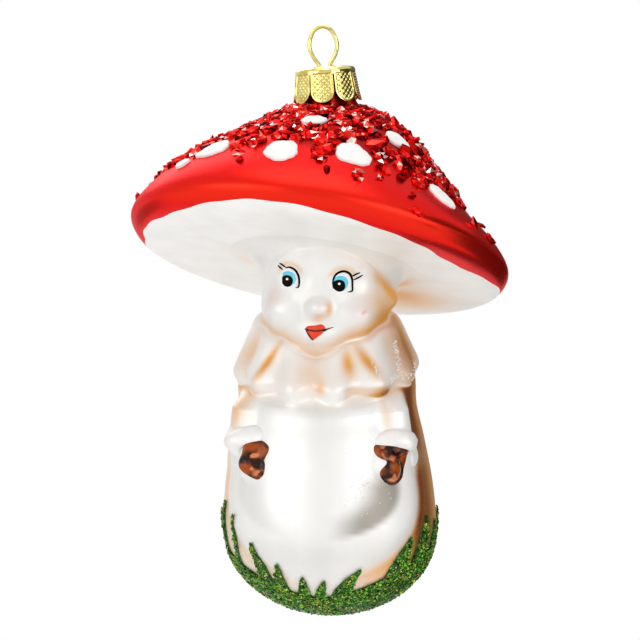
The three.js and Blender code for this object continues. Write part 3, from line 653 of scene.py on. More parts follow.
    def on_neck(self, points):
        """Points on the neck's own axis, zero at its foot, turned by its lean into the part's frame."""
        lean = self.form.neck_lean
        x, y, z = points[..., 0], points[..., 1], points[..., 2]
        turned = [x * math.cos(lean) - z * math.sin(lean), y, x * math.sin(lean) + z * math.cos(lean)]
        return np.stack(turned, -1) + np.array([self.form.neck_shift, 0, self.neck_foot]) - self.origin

    def hemward(self, at):
        """Share of the folds' depth: none at the neckline, all of it at the hem."""
        return np.clip((at - self.COLLAR + 0.2) / 1.2, 0, 1) * np.clip((self.HEAD - 0.7 - at) / 2.4, 0, 1)

    def fold(self, turn):
        """1 in a fold's valley and -1 on its ridge: a cosine whose folds are drawn together and apart."""
        drawn = 22 * np.sin(np.radians(2 * turn + 50)) + 14 * np.sin(np.radians(5 * turn))
        return np.cos(np.radians(self.form.collar_folds * turn + drawn))

    def face_relief(self, arc, level):
        """A dome and smooth oval rises on rolled axes.

        The dome is sqrt(1 - distance squared), and each rise is (1 - distance squared) squared.
        """
        roll = self.form.face_roll
        up = level - (self.neckline - self.form.neckline_drop) - self.form.face_lift
        across = np.abs(arc * math.cos(roll) - up * math.sin(roll))
        along = up * math.cos(roll) + arc * math.sin(roll)
        height = np.where(along > 0, self.form.face_top, self.form.face_foot)
        dome = np.sqrt(1 - np.minimum(1, (across / self.form.face_width) ** 2 + (along / height) ** 2))
        size = self.form.head_radius
        return self.form.face_rise * dome + size * sum(
            rise * oval_rise((across / size - beside) / wide, (along / size - above) / tall)
            for rise, beside, above, wide, tall in FACE_RELIEF
        )

    def arm_relief(self, turn, level, radius):
        """Sum of smooth oval rises for sleeve, cuff, wrist and hand on both sides."""
        size = self.form.body_radius
        up = (level - (self.form.body_height - self.form.hand_drop)) / size
        beside = np.abs(turn) - math.degrees(self.form.hand_turn)
        return size * sum(
            rise * oval_rise(np.radians(beside - outward) * radius / size / wide, (up - above) / tall)
            for rise, outward, above, wide, tall in ARM_RELIEF
        )

    def belly_distance(self, turn, level):
        """1 along the belly's edge: its turn and, below the belly's level, its depth make an ellipse."""
        below = np.minimum(0, (level - self.form.belly_level) / self.form.belly_depth)
        return np.hypot(turn / math.degrees(self.form.belly_turn), below)

    def relief(self, at, turn, radius, level):
        """How far the moulded detail stands off the plain ring."""
        form = self.form
        arc = np.radians(turn) * np.maximum(radius, MM)
        folds = -self.hemward(at) * form.collar_fold_depth * self.fold(turn)
        on_head = (at > self.HEAD - 1.6) & (at < self.UNDERSIDE + 0.4)
        on_body = np.clip((self.COLLAR + 0.1 - at) / 0.8, 0, 1)
        belly = form.belly_rise * (1 - step(self.belly_distance(turn, level), 0.88, 1.04))
        arms = self.arm_relief(turn, level, radius)
        return folds + on_head * self.face_relief(arc, level) + on_body * (belly + arms)

    def place(self, at, turn):
        """Radius, shift, x, y and level of the plain glass."""
        at, turn = np.broadcast_arrays(np.asarray(at, float), np.asarray(turn, float))
        values = np.moveaxis(catmull_rom(self.rings, at), -1, 0)
        radius, height, shift, side, back, drop, oval, chin = values
        radius = np.maximum(radius, 0)
        cosine = np.cos(np.radians(turn))
        x = radius * np.sin(np.radians(turn))
        y = -radius * cosine * oval
        under_chin = chin * bell(turn, 0, math.degrees(self.form.chin_turn))
        dips = drop * ((1 + cosine) / 2) ** 2 + under_chin
        wave = self.form.hem_wave * self.hemward(at) * self.fold(turn)
        return radius, shift, x, y, height + side * x + back * y - dips + wave

    def points(self, at, turn, plain=False):
        """Points of the outside in the part's frame."""
        radius, shift, x, y, level = self.place(at, turn)
        grow = np.ones_like(x)
        if not plain:
            proud = self.relief(np.asarray(at), np.asarray(turn), radius, level)
            grow = np.where(radius > 0.5 * MM, 1 + proud / np.maximum(radius, MM), 1)
        return np.stack([shift + x * grow, y * grow, level], -1) - self.origin

    def normals(self, at, turn, plain=False):
        """Outward unit normals, from small steps along and around the rings."""
        at = np.asarray(at, float)
        near = 0.01
        along = self.points(np.minimum(at + near, self.LIP), turn, plain)
        along = along - self.points(np.maximum(at - near, 0), turn, plain)
        safe = np.maximum(at, near)
        around = self.points(safe, turn + 0.4, plain) - self.points(safe, turn - 0.4, plain)
        normal = np.cross(around, along)
        return normal / np.linalg.norm(normal, axis=-1, keepdims=True)

    def off(self, at, turn, distance, plain=False):
        """Points that stand off the glass along its normal."""
        lift = np.asarray(distance, float)[..., None] * self.normals(at, turn, plain)
        return self.points(at, turn, plain) + lift

    def at_level(self, turn, level, low, high):
        """Ring numbers between low and high where the glass reaches the levels, by halving."""
        turn, level = np.broadcast_arrays(np.asarray(turn, float), np.asarray(level, float))
        low, high = np.full(turn.shape, float(low)), np.full(turn.shape, float(high))
        for _ in range(36):
            middle = (low + high) / 2
            below = self.place(middle, turn)[4] < level
            low = np.where(below, middle, low)
            high = np.where(below, high, middle)
        return low

    def laid(self, spot, across, up, lift):
        """Points laid on the glass, across and up from a (turn, level, low ring, high ring) spot."""
        turn0, level0, low, high = spot
        middle = self.at_level(turn0, level0, low, high)
        radius = self.place(middle, turn0)[0]
        turn = turn0 + np.degrees(across / radius)
        at = self.at_level(turn, level0 + up, low, high)
        return self.off(at, turn, lift)

    def slope_ring(self, share):
        """Ring number at a share of the hat's slope."""
        return lerp(self.NECK - 1, self.BRIM, share)


def settings(scene):
    """The glass, the trim's sizes and the paints of a scene."""
    return BlownGlass(scene), scene.mushroom_trim, scene.mushroom_paint


def oval_rise(across, up):
    """Smooth oval rise, 1 at its middle and 0 past its edge."""
    return (1 - np.minimum(1, across**2 + up**2)) ** 2


def flat_rows(grid):
    """Rows of a loft as one list: the first and last rows are poles and give one value each."""
    return np.concatenate([grid[0, :1], grid[1:-1].reshape(-1, *grid.shape[2:]), grid[-1, :1]])


def quads_between(start, above, here, following):
    """Four-sided faces between pairs of rows, whose first point numbers are start and above."""
    return np.stack([start + here, start + following, above + following, above + here], -1).reshape(-1, 4)


def loft(grid, ringed=False):
    """Closed surface through rows of points that each go once round.

    The first and last rows are poles, or with ringed the last row joins the first. Faces turn outwards: the
    sum over the triangles of a . (b x c), six times the volume, is made positive.
    """
    rows, columns = grid.shape[:2]
    here = np.arange(columns)
    following = (here + 1) % columns
    if ringed:
        points = grid.reshape(-1, 3)
        start = (np.arange(rows) * columns)[:, None]
        above = (((np.arange(rows) + 1) % rows) * columns)[:, None]
        faces = [quads_between(start, above, here, following)]
    else:
        points = flat_rows(grid)
        start = (1 + np.arange(rows - 3) * columns)[:, None]
        quads = quads_between(start, start + columns, here, following)
        last = len(points) - 1
        top = 1 + (rows - 3) * columns
        first_fan = np.stack([np.zeros_like(here), 1 + following, 1 + here], -1)
        last_fan = np.stack([np.full_like(here, last), top + here, top + following], -1)
        faces = [quads, np.concatenate([first_fan, last_fan])]
    middle = points - points.mean(0)
    volume = 0.0
    for face in faces:
        for i in range(1, face.shape[1] - 1):
            a, b, c = (middle[face[:, k]] for k in (0, i, i + 1))
            volume += np.einsum("ij,ij->", a, np.cross(b, c))
    if volume < 0:
        faces = [face[:, ::-1] for face in faces]
    return points, faces


def joined(surfaces):
    """Several surfaces as one list of points and faces."""
    points, faces, before = [], {}, 0
    for some, lists in surfaces:
        points.append(some)
        for face in lists:
            faces.setdefault(face.shape[1], []).append(face + before)
        before += len(some)
    return np.concatenate(points), [np.concatenate(faces[sides]) for sides in sorted(faces)]


def copies(points, faces, turned, places):
    """A small closed shape set at many places: each copy's points are turned by its own axes."""
    many = np.einsum("nij,npj->npi", turned, points) + places[:, None, :]
    each = points.shape[1]
    before = (np.arange(len(places)) * each)[:, None, None]
    return many.reshape(-1, 3), [(face[None] + before).reshape(-1, face.shape[1]) for face in faces]


def add_piece(name, surface, finishes, body, nodes=(), smooth=True, face_finish=None, masks=None):
    """Makes a mesh from arrays, gives it its finishes and sets it on its body."""
    points, faces = surface
    mesh = bpy.data.meshes.new(name)
    mesh.vertices.add(len(points))
    mesh.vertices.foreach_set("co", np.asarray(points, np.float32).ravel())
    sides = np.concatenate([np.full(len(face), face.shape[1]) for face in faces])
    corners = np.concatenate([face.ravel() for face in faces])
    mesh.loops.add(len(corners))
    mesh.loops.foreach_set("vertex_index", corners.astype(np.int32))
    mesh.polygons.add(len(sides))
    mesh.polygons.foreach_set("loop_start", (np.cumsum(sides) - sides).astype(np.int32))
    mesh.polygons.foreach_set("use_smooth", np.full(len(sides), smooth))
    for finish in finishes:
        mesh.materials.append(finish)
    if face_finish is not None:
        mesh.polygons.foreach_set("material_index", face_finish.astype(np.int32))
    for mask, values in (masks or {}).items():
        domain = "POINT" if np.size(values) == len(points) else "FACE"
        attribute = mesh.attributes.new(mask, "FLOAT", domain)
        attribute.data.foreach_set("value", np.asarray(values, np.float32).ravel())
    mesh.update(calc_edges=True)
    if mesh.validate():
        raise RuntimeError(f"{name} has faces that Blender had to mend")
    piece = bpy.data.objects.new(name, mesh)
    bpy.context.scene.collection.objects.link(piece)
    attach(piece, body)
    if nodes:
        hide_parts(*nodes)


def random_axes(rng, normals, tilt):
    """Turned axes whose third one leaves the normals by a random tilt, with a random spin."""
    leaned = normals + tilt * rng.normal(size=normals.shape)
    third = leaned / np.linalg.norm(leaned, axis=1, keepdims=True)
    other = rng.normal(size=normals.shape)
    first = np.cross(other, third)
    first /= np.linalg.norm(first, axis=1, keepdims=True)
    return np.stack([first, np.cross(third, first), third], -1)


class Sheet:
    """A node tree to write materials in."""

    def __init__(self, tree):
        self.tree = tree

    def add(self, kind, inputs=None, **options):
        """Adds a node, links the inputs that are sockets and sets the others."""
        node = self.tree.nodes.new(kind)
        for name, value in options.items():
            setattr(node, name, value)
        for name, value in (inputs or {}).items():
            socket = node.inputs[name]
            if isinstance(value, bpy.types.NodeSocket):
                self.tree.links.new(value, socket)
            else:
                socket.default_value = value
        return node

    def coords(self):
        """Object coordinates."""
        return self.add("ShaderNodeTexCoord").outputs["Object"]

    def noise(self, scale, detail=3.0, roughness=0.55, vector=None):
        """Noise value on object coordinates, its scale counted in cells for each metre."""
        inputs = {"Scale": scale, "Detail": detail, "Roughness": roughness}
        return self.add("ShaderNodeTexNoise", {"Vector": vector or self.coords(), **inputs}).outputs["Fac"]

    def mask(self, name):
        """A value that the mesh carries."""
        return self.add("ShaderNodeAttribute", attribute_name=name).outputs["Fac"]

    def math(self, operation, a, b):
        """One sum on two values."""
        return self.add("ShaderNodeMath", {0: a, 1: b}, operation=operation).outputs[0]

    def between(self, value, low, high, to_low=0.0, to_high=1.0):
        """Maps a value's range to another, clamped."""
        inputs = {"Value": value, "From Min": low, "From Max": high, "To Min": to_low, "To Max": to_high}
        return self.add("ShaderNodeMapRange", inputs).outputs[0]

    def mix(self, factor, a, b):
        """Colour between a and b, each a colour or a socket."""
        ends = [end if isinstance(end, bpy.types.NodeSocket) else (*end, 1) for end in (a, b)]
        inputs = {0: factor, 6: ends[0], 7: ends[1]}
        return self.add("ShaderNodeMix", inputs, data_type="RGBA").outputs[2]

    def group(self, tree, inputs):
        """A placed node group."""
        return self.add("ShaderNodeGroup", inputs, node_tree=tree)

    def bump(self, height, distance):
        """Normal from a height."""
        return self.add("ShaderNodeBump", {"Height": height, "Distance": distance}).outputs["Normal"]


def new_group(name, inputs, outputs, kind):
    """An empty node group with sockets of one kind, as its sheet and the values that it is given."""
    tree = bpy.data.node_groups.new(name, "ShaderNodeTree")
    for way, names in (("INPUT", inputs), ("OUTPUT", outputs)):
        for socket in names:
            tree.interface.new_socket(socket, in_out=way, socket_type=kind)
    sheet = Sheet(tree)
    return sheet, sheet.add("NodeGroupInput").outputs


def coat_unevenness():
    """Node group: blotches where a sprayed or dipped coat lies thick, and its fine surface ripple.

    Blotch is noise at the coarse scale, Ripple is the sum of noise at the fine scale and at a fifth of it.
    """
    tree = bpy.data.node_groups.get("coat_unevenness")
    if tree:
        return tree
    scales = ("Blotch Scale", "Ripple Scale")
    sheet, given = new_group("coat_unevenness", scales, ("Blotch", "Ripple"), "NodeSocketFloat")
    coords = sheet.coords()
    blotch = sheet.between(sheet.noise(given["Blotch Scale"], 4.0, 0.6, coords), 0.3, 0.7)
    fine = sheet.noise(given["Ripple Scale"], 2.0, 0.5, coords)
    broad = sheet.noise(sheet.math("MULTIPLY", given["Ripple Scale"], 0.2), 2.0, 0.5, coords)
    sheet.add("NodeGroupOutput", {"Blotch": blotch, "Ripple": sheet.math("ADD", fine, broad)})
    return sheet.tree


def new_material(name):
    """An empty material with a Principled shader, as its sheet and that shader's inputs."""
    material = bpy.data.materials.new(name)
    material.use_nodes = True
    sheet = Sheet(material.node_tree)
    return material, sheet, material.node_tree.nodes["Principled BSDF"].inputs


def wire_up(sheet, inputs, values):
    """Links or sets the Principled shader's inputs."""
    for name, value in values.items():
        if isinstance(value, bpy.types.NodeSocket):
            sheet.tree.links.new(value, inputs[name])
        elif isinstance(inputs[name].default_value, float):
            inputs[name].default_value = value
        else:
            inputs[name].default_value = (*value, 1)


def coated(name, pale, deep, blotch_scale, ripple_scale, ripple_height, rough, values):
    """Material of one uneven coat: over its blotches go the roughness and the colour from pale to deep.

    Where deep is None the colour is plain.
    """
    material, sheet, inputs = new_material(name)
    scales = {"Blotch Scale": blotch_scale, "Ripple Scale": ripple_scale}
    coat = sheet.group(coat_unevenness(), scales).outputs
    wire_up(sheet, inputs, {
        "Base Color": sheet.mix(coat["Blotch"], pale, deep) if deep else pale,
        "Roughness": sheet.between(coat["Blotch"], 0, 1, rough[0], rough[1]),
        "Normal": sheet.bump(coat["Ripple"], ripple_height),
        **values,
    })
    return material


def red_lacquer(colours):
    """Satin red lacquer over silvered glass, deep where it lies thick, with a painted reflection in orange
    low on the front of the brim and painted shade in dark red on the glue between the chips.
    """
    material, sheet, inputs = new_material("red_lacquer")
    coat = sheet.group(coat_unevenness(), {"Blotch Scale": 45.0, "Ripple Scale": 700.0}).outputs
    thick = sheet.math("MULTIPLY", coat["Blotch"], 0.3)
    colour = sheet.mix(thick, colours.red, colours.red_deep)
    # Painted reflection: brighter orange low on the front of the brim.
    colour = sheet.mix(sheet.mask("brim_reflection_mask"), colour, colours.red_brim_reflection)
    wire_up(sheet, inputs, {
        # Painted shade: dark red on the glue between the chips of the crust.
        "Base Color": sheet.mix(sheet.mask("glue_and_crust_shade"), colour, colours.glue_shade_red),
        "Roughness": sheet.between(coat["Blotch"], 0, 1, 0.25, 0.31),
        "Normal": sheet.bump(coat["Ripple"], 0.01 * MM),
        "Metallic": 0.88,
        "Specular IOR Level": 0.3,
        "Specular Tint": colours.red,
        "Coat Weight": 0.2,
        "Coat Roughness": 0.34,
    })
    return material


def pearl_paint(colours):
    """Satin pearl white over silver, streaked where it ran, with fine spray dots of tan, brown and blush."""
    material, sheet, inputs = new_material("pearl_paint")
    coat = sheet.group(coat_unevenness(), {"Blotch Scale": 70.0, "Ripple Scale": 500.0}).outputs
    dots = sheet.between(sheet.noise(5200.0, 1.0), 0.25, 0.75, 0.8, 1.2)
    upright = {"Vector": sheet.coords(), "Scale": (1.0, 1.0, 0.12)}
    drawn = sheet.add("ShaderNodeMapping", upright).outputs[0]
    streaks = sheet.between(sheet.noise(170.0, 3.0, 0.55, drawn), 0.4, 0.75)
    thin = sheet.math("MULTIPLY", sheet.math("ADD", coat["Blotch"], streaks), 0.25)
    colour = sheet.mix(thin, colours.pearl, colours.pearl_dull)
    # Grey silver laid on as painted shade and painted reflection.
    colour = sheet.mix(sheet.mask("silver_and_shade_paint"), colour, colours.shade_grey_silver)
    for name in ("blush", "tan", "umber"):
        sprayed = sheet.math("MULTIPLY", sheet.mask(f"{name}_spray"), dots)
        colour = sheet.mix(sheet.between(sprayed, 0, 1), colour, getattr(colours, name))
    wire_up(sheet, inputs, {
        "Base Color": colour,
        "Roughness": sheet.between(coat["Blotch"], 0, 1, 0.38, 0.48),
        "Metallic": 0.25,
        "Normal": sheet.bump(coat["Ripple"], 0.006 * MM),
    })
    return material


def scattered_tones():
    """Node group: a colour that goes through four tones, deep to glinting, by the mesh's own tone values."""
    tree = bpy.data.node_groups.get("scattered_tones")
    if tree:
        return tree
    sheet, given = new_group("scattered_tones", TONES, ["Colour"], "NodeSocketColor")
    tone = sheet.mask("tone")
    colour = given["Deep"]
    for name, low, high in (("Middle", 0, 0.45), ("Bright", 0.5, 0.85), ("Glint", 0.88, 0.94)):
        colour = sheet.mix(sheet.between(tone, low, high), colour, given[name])
    sheet.add("NodeGroupOutput", {"Colour": colour})
    return sheet.tree


def toned(name, tones, rough, values):
    """Material of small loose bits in four tones, deep to glinting."""
    material, sheet, inputs = new_material(name)
    given = {tone: (*colour, 1) for tone, colour in zip(TONES, tones)}
    grain = sheet.noise(1500.0)
    wire_up(sheet, inputs, {
        "Base Color": sheet.group(scattered_tones(), given).outputs["Colour"],
        "Roughness": sheet.between(grain, 0.3, 0.7, rough[0], rough[1]),
        **values,
    })
    return material


def paint_line(turn):
    """Ring number where the red starts: high in front and behind, low at the right, in a brush's waves."""
    waves = 0.05 * np.sin(np.radians(9 * turn)) + 0.04 * np.sin(np.radians(23 * turn + 60))
    behind = 1.4 * step(np.abs(turn), 80, 130)
    return 20.1 + behind + bell(turn, -10, 25) - 0.95 * bell(turn, 60, 24) + waves


def shell_grid(glass):
    """Ring numbers and turns of the shell: rows crowd the collar and head, columns crowd the front.

    Rows between the underside and the brim are moved so that one of them follows the paint line.
    """
    marks = (0, glass.SIDES, glass.COLLAR, glass.HEAD, glass.UNDERSIDE, glass.BRIM, glass.NECK, glass.LIP)
    rows = np.concatenate([
        np.linspace(low, high, some, endpoint=False) for low, high, some in zip(marks, marks[1:], SHELL_ROWS)
    ] + [[glass.LIP]])
    even = np.linspace(-180, 180, SHELL_COLUMNS, endpoint=False)
    turn = even - 26 * np.sin(np.radians(even))
    low, middle, high = glass.UNDERSIDE + 0.2, 20.0, float(glass.BRIM)
    line_row = int(np.argmin(np.abs(rows - middle)))
    line = paint_line(turn)[None, :]
    at = np.repeat(rows[:, None], SHELL_COLUMNS, 1)
    under = low + (at - low) / (rows[line_row] - low) * (line - low)
    over = line + (at - rows[line_row]) / (high - rows[line_row]) * (high - line)
    between = (at > low) & (at < high)
    at = np.where(between, np.where(at < rows[line_row], under, over), at)
    return at, np.repeat(turn[None, :], len(rows), 0), line_row


def dabs(turn, height, table):
    """Sum of smooth dabs: strength times a bell of the turn times a bell of the height."""
    return sum(
        strength * bell(turn, middle, wide) * bell(height, level, tall)
        for strength, middle, level, wide, tall in table
    )


def band(value, low, full, end, past):
    """1 from full to end, and smoothly 0 below low and past the last value."""
    return step(value, low, full) * (1 - step(value, end, past))


def on_face(at):
    """Whether rings belong to the face."""
    return (at > 13.8) & (at < 17.6)


def below_collar(at):
    """1 below the collar and smoothly 0 on it."""
    return 1 - step(at, 9.2, 9.7)


def collar_lining(at, turn, up):
    """Mask of painted shade inside the open fold at the front right."""
    return band(turn, 17, 22, 44, 50) * step(at, 9.8, 10.05) * (1 - step(up, 53.2, 54.2))


def collar_spray(glass, at, turn, up):
    """Tan and brown on the collar: a breath in each fold's valley, slanting strokes, a dark tuck, and
    painted shade inside the open fold.
    """
    collar = band(at, 9.7, 10.2, 13.3, 13.8)
    valley = (0.5 + 0.5 * glass.fold(turn)) ** 2
    tuck = dabs(turn, at, TUCK_DABS)
    tan = collar * valley * (0.08 + 0.45 * step(np.abs(turn), 84, 100))
    # Painted shade in tan inside the open fold.
    tan += 0.3 * collar_lining(at, turn, up) + 0.9 * tuck
    umber = 0.42 * tuck
    for middle, slant, height, wide, tall, pale, deep in COLLAR_STROKES:
        stroke = collar * bell(turn, middle + slant * (up - height), wide) * bell(up, height, tall)
        tan += pale * stroke
        umber += deep * stroke
    return tan, umber


def head_spray(at, turn, up, right):
    """Tan, brown and blush on the head: jaw, lids, the crease under the hat and the cheeks, with painted
    shade at the nose and on the head's right side, and a painted reflection on the right cheek.
    """
    face = on_face(at)
    jaw = step(at, 13.5, 14.05) * (1 - step(at, 13.95 + 0.2 * right, 14.75 + 0.6 * right))
    jaw *= 0.5 + 0.5 * right
    lids = np.zeros_like(up)
    for eye_turn, eye_level, *_ in EYES:
        apart = np.hypot((turn - eye_turn) * 0.29, up - eye_level)
        lids += 0.45 * bell(apart, 3.1, 0.6) * step(up, eye_level, eye_level + 2)
    crease = 0.75 * bell(at, 16.25 - 0.02 * (turn - 46), 0.32) * band(turn, 34, 56, 90, 115)
    # The second bell is painted shade, darker towards the right edge of the head.
    crease += 0.65 * bell(at, 15.15, 0.6) * band(turn, 28, 54, 86, 104) + dabs(turn, at, BROW_DABS)
    # Painted reflection: a dark mauve fleck on the right cheek, in brown and blush.
    fleck = bell(turn, 32 + 3 * (up - 70.4), 1.6) * bell(up, 70.4, 0.6)
    cheeks = oval_rise((turn + 42) / 16, (up - 73.5) / 4.5)
    cheeks += 0.5 * oval_rise((turn - 29) / 12, (up - 71) / 3.6)
    tan = jaw + face * (dabs(turn, up, NOSE_SHADE_DABS) + lids) + crease
    umber = 0.16 * jaw * right + 0.3 * face * fleck
    return tan, umber, face * (0.3 * cheeks + 0.6 * dabs(turn, up, CHEEK_DABS))


def body_spray(glass, at, turn, level, right, back):
    """Tan and brown below the collar: outside the belly's edge, under the hem and round the arms."""
    up, front, below = level / MM, np.abs(turn), below_collar(at)
    sleeve = np.clip(glass.arm_relief(turn, level, glass.place(at, turn)[0]) / (2.2 * MM), 0, 1)
    edge = glass.belly_distance(turn, level)
    sides = 0.1 + 0.2 * step(front, 10, 30) + 0.6 * right + 0.2 * step(-turn, 58, 78)
    panel = step(edge, 1.0, 1.1) * sides + 0.25 * bell(edge, 1.04, 0.07) * step(front, 10, 30)
    panel *= below * (1 - 0.8 * sleeve)
    under_hem = bell(at, 9.45, 0.35) * (0.1 + 0.4 * step(front, 30, 60))
    elbow = below * dabs(turn, up, ELBOW_DABS)
    tan = panel + under_hem + below * dabs(turn, up, SLEEVE_DABS) + 0.6 * elbow
    deep = step(turn, 54, 64) * (1 - 0.5 * step(turn, 74, 86)) * (1 - back)
    return tan, 0.35 * elbow + 0.95 * panel * deep


def painted_shade_over_silver(at, turn, up):
    """Grey where silver shows through thin pearl, laid on as painted light: a painted reflection in a
    crescent low on the belly, and painted shade down the middle and at the left of the belly, under the hem,
    low on the belly, inside the open fold and over the face.
    """
    front = np.abs(turn)
    bulge = np.hypot(turn / 47, np.minimum(0, (up - 31) / 11))
    # Painted reflection: a grey crescent low on the belly.
    crescent = band(bulge, 0.42, 0.8, 0.94, 1.08) * (1 - step(up, 31, 36))
    # Painted shade down the middle of the belly and low at its left side.
    belly = crescent * (0.9 * step(turn, 4, 26) + 0.16 * step(-turn, 10, 30)) + 0.08 * bell(turn, 3, 9)
    belly += 0.1 * bell(turn, -57, 9) * bell(up, 30, 10)
    # Painted shade under the collar's hem and low on the belly.
    belly += (1 - step(front, 30, 55)) * (0.2 * bell(at, 8.85, 0.5) + 0.14 * bell(up, 16, 4))
    # Painted shade over the face.
    face = 0.12 * on_face(at) * (1 - step(front, 60, 90))
    # Painted shade inside the open fold.
    return below_collar(at) * belly + 0.14 * collar_lining(at, turn, up) + face


def spray_masks(glass, at, turn, crust_share):
    """Masks of the shell's coats, each a sum of smooth bumps and steps over ring, turn and level.

    Besides the airbrush, the masks paint light: grey silver as painted shade and painted reflection, a
    painted reflection in orange low on the front of the brim, and painted shade on the glue that lies under
    the crust.
    """
    level = glass.place(at, turn)[4]
    up = level / MM
    back = step(turn, 120, 178)
    right = step(turn, 10, 60) * (1 - 0.67 * back)
    collar_tan, collar_umber = collar_spray(glass, at, turn, up)
    head_tan, head_umber, blush = head_spray(at, turn, up, right)
    body_tan, body_umber = body_spray(glass, at, turn, level, right, back)
    share = (glass.NECK - 1 - at) / (glass.NECK - 1 - glass.BRIM)
    crust = crust_edge(turn, crust_share)
    # Painted shade on the glue under the crust, dark between the chips.
    glue = step(at, glass.BRIM, glass.BRIM + 0.4) * (1 - step(share, crust - 0.11, crust - 0.01))
    masks = {
        "tan_spray": collar_tan + head_tan + body_tan,
        "umber_spray": collar_umber + head_umber + body_umber,
        "blush_spray": blush,
        "silver_and_shade_paint": painted_shade_over_silver(at, turn, up),
        # Painted reflection: brighter orange low on the brim, in front only.
        "brim_reflection_mask": 0.6 * bell(at, 21.5, 0.65) * (1 - step(np.abs(turn), 50, 85)),
        "glue_and_crust_shade": 0.6 * glue,
    }
    return {name: np.clip(mask, 0, 1) for name, mask in masks.items()}


def superellipse(angles, half_width, half_height, power_above, power_below):
    """Radius of an oval that is round above and squarer below: (|cos / w|^p + |sin / h|^p)^(-1 / p)."""
    power = np.where(np.sin(angles) > 0, power_above, power_below)
    wide = np.abs(np.cos(angles) / half_width) ** power
    tall = np.abs(np.sin(angles) / half_height) ** power
    return (wide + tall) ** (-1 / power)


def enamel_patch(glass, spot, outline, rise, middle=(0.0, 0.0)):
    """Closed domed patch of paint on the glass.

    Its outline is a radius for each angle of ROUND about the middle, in millimetres. A point at a share q of
    that radius is lifted by rise sqrt(1 - q^3), and the underside lies in the glass.
    """
    sink = 0.12
    shares = np.array([0, 0.25, 0.5, 0.7, 0.85, 0.95, 1])
    top = rise * np.sqrt(1 - shares**3)
    shares = np.concatenate([shares, shares[::-1]])
    lift = np.concatenate([top, np.full(len(top), -sink)])
    across = middle[0] + shares[:, None] * (outline * np.cos(ROUND))[None, :]
    up = middle[1] + shares[:, None] * (outline * np.sin(ROUND))[None, :]
    lift = np.repeat(lift[:, None], len(ROUND), 1)
    return loft(glass.laid(spot, across * MM, up * MM, lift * MM))


def enamel_stroke(glass, spot, path, width, rise, power=2):
    """Closed brush stroke along points across and up, in millimetres.

    A Catmull-Rom curve runs through the points. Its section is an ellipse of the half width, which tapers to
    both ends as sqrt(1 - |2 share - 1|^power), and of the rise, and its lower half lies in the glass.
    """
    line = smooth_path(np.array(path, float), STROKE_STEPS)
    share = np.linspace(0, 1, len(line))
    side = sideways(line)
    taper = np.sqrt(1 - np.abs(2 * share - 1) ** power)
    around = np.linspace(0, 2 * math.pi, STROKE_SIDES, endpoint=False)
    reach = (width * taper)[:, None] * np.cos(around)[None, :]
    across = line[:, :1] + side[:, :1] * reach
    up = line[:, 1:] + side[:, 1:] * reach
    lift = rise * np.maximum(taper, 0.3)[:, None] * np.sin(around)[None, :]
    lift[[0, -1]] = 0
    return loft(glass.laid(spot, across * MM, up * MM, lift * MM))


def reach_round(edge):
    """Distance of a closed line of points from zero, for each angle of ROUND."""
    angles = np.arctan2(edge[:, 1], edge[:, 0]) % (2 * math.pi)
    order = np.argsort(angles)
    reach = np.hypot(edge[:, 0], edge[:, 1])[order]
    return np.interp(ROUND, angles[order], reach, period=2 * math.pi)


def clipped(radius, middle, limit):
    """Circle about a middle, cut off where it would pass the limit outline, which is about zero."""
    edge = np.stack([limit * np.cos(ROUND), limit * np.sin(ROUND)], -1) - np.array(middle)
    return np.minimum(radius, reach_round(edge))


def through(points, middle):
    """Outline about a middle: the reach of a closed Catmull-Rom curve through points."""
    points = np.array(points, float)
    looped = smooth_path(np.vstack([points[-2:], points, points[:2]]), OUTLINE_STEPS)
    once_round = looped[2 * OUTLINE_STEPS:(len(points) + 2) * OUTLINE_STEPS]
    return reach_round(once_round - np.array(middle))


class MUSHROOM_OT_glass_shell(bpy.types.Operator):
    """Blown glass from the foot to the open neck, lacquered red on the hat and pearl white below"""

    bl_idname = "mushroom.glass_shell"
    bl_label = "Glass Shell"

    def execute(self, context):
        glass, trim, colours = settings(context.scene)
        at, turn, line_row = shell_grid(glass)
        inner = np.linspace(glass.LIP, 0, INNER_ROWS)[:, None]
        wall = glass.form.glass_wall + glass.form.collar_fold_depth * glass.hemward(inner)
        inside = glass.off(inner, turn[:1], -wall * np.ones((1, SHELL_COLUMNS)), plain=True)
        grid = np.concatenate([glass.points(at, turn), inside])
        masks = spray_masks(glass, at, turn, trim.crust_share)
        bare = np.zeros(inside.shape[:2])
        masks = {name: flat_rows(np.concatenate([values, bare])) for name, values in masks.items()}
        bands = np.arange(len(grid) - 3) + 1
        lip_row = len(at) - 1
        finish = np.where(bands < line_row, 0, np.where(bands < lip_row, 1, 2))
        fans = np.repeat([0, 2], SHELL_COLUMNS)
        silver = coated("silvered_glass", colours.silver, colours.silver_dull, 90, 900, 0.01 * MM,
                        (0.1, 0.2), {"Metallic": 0.9})
        finishes = [pearl_paint(colours), red_lacquer(colours), silver]
        face_finish = np.concatenate([np.repeat(finish, SHELL_COLUMNS), fans])
        add_piece("glass_shell", loft(grid), finishes, "glass", ["glass_body"],
                  face_finish=face_finish, masks=masks)
        return {"FINISHED"}


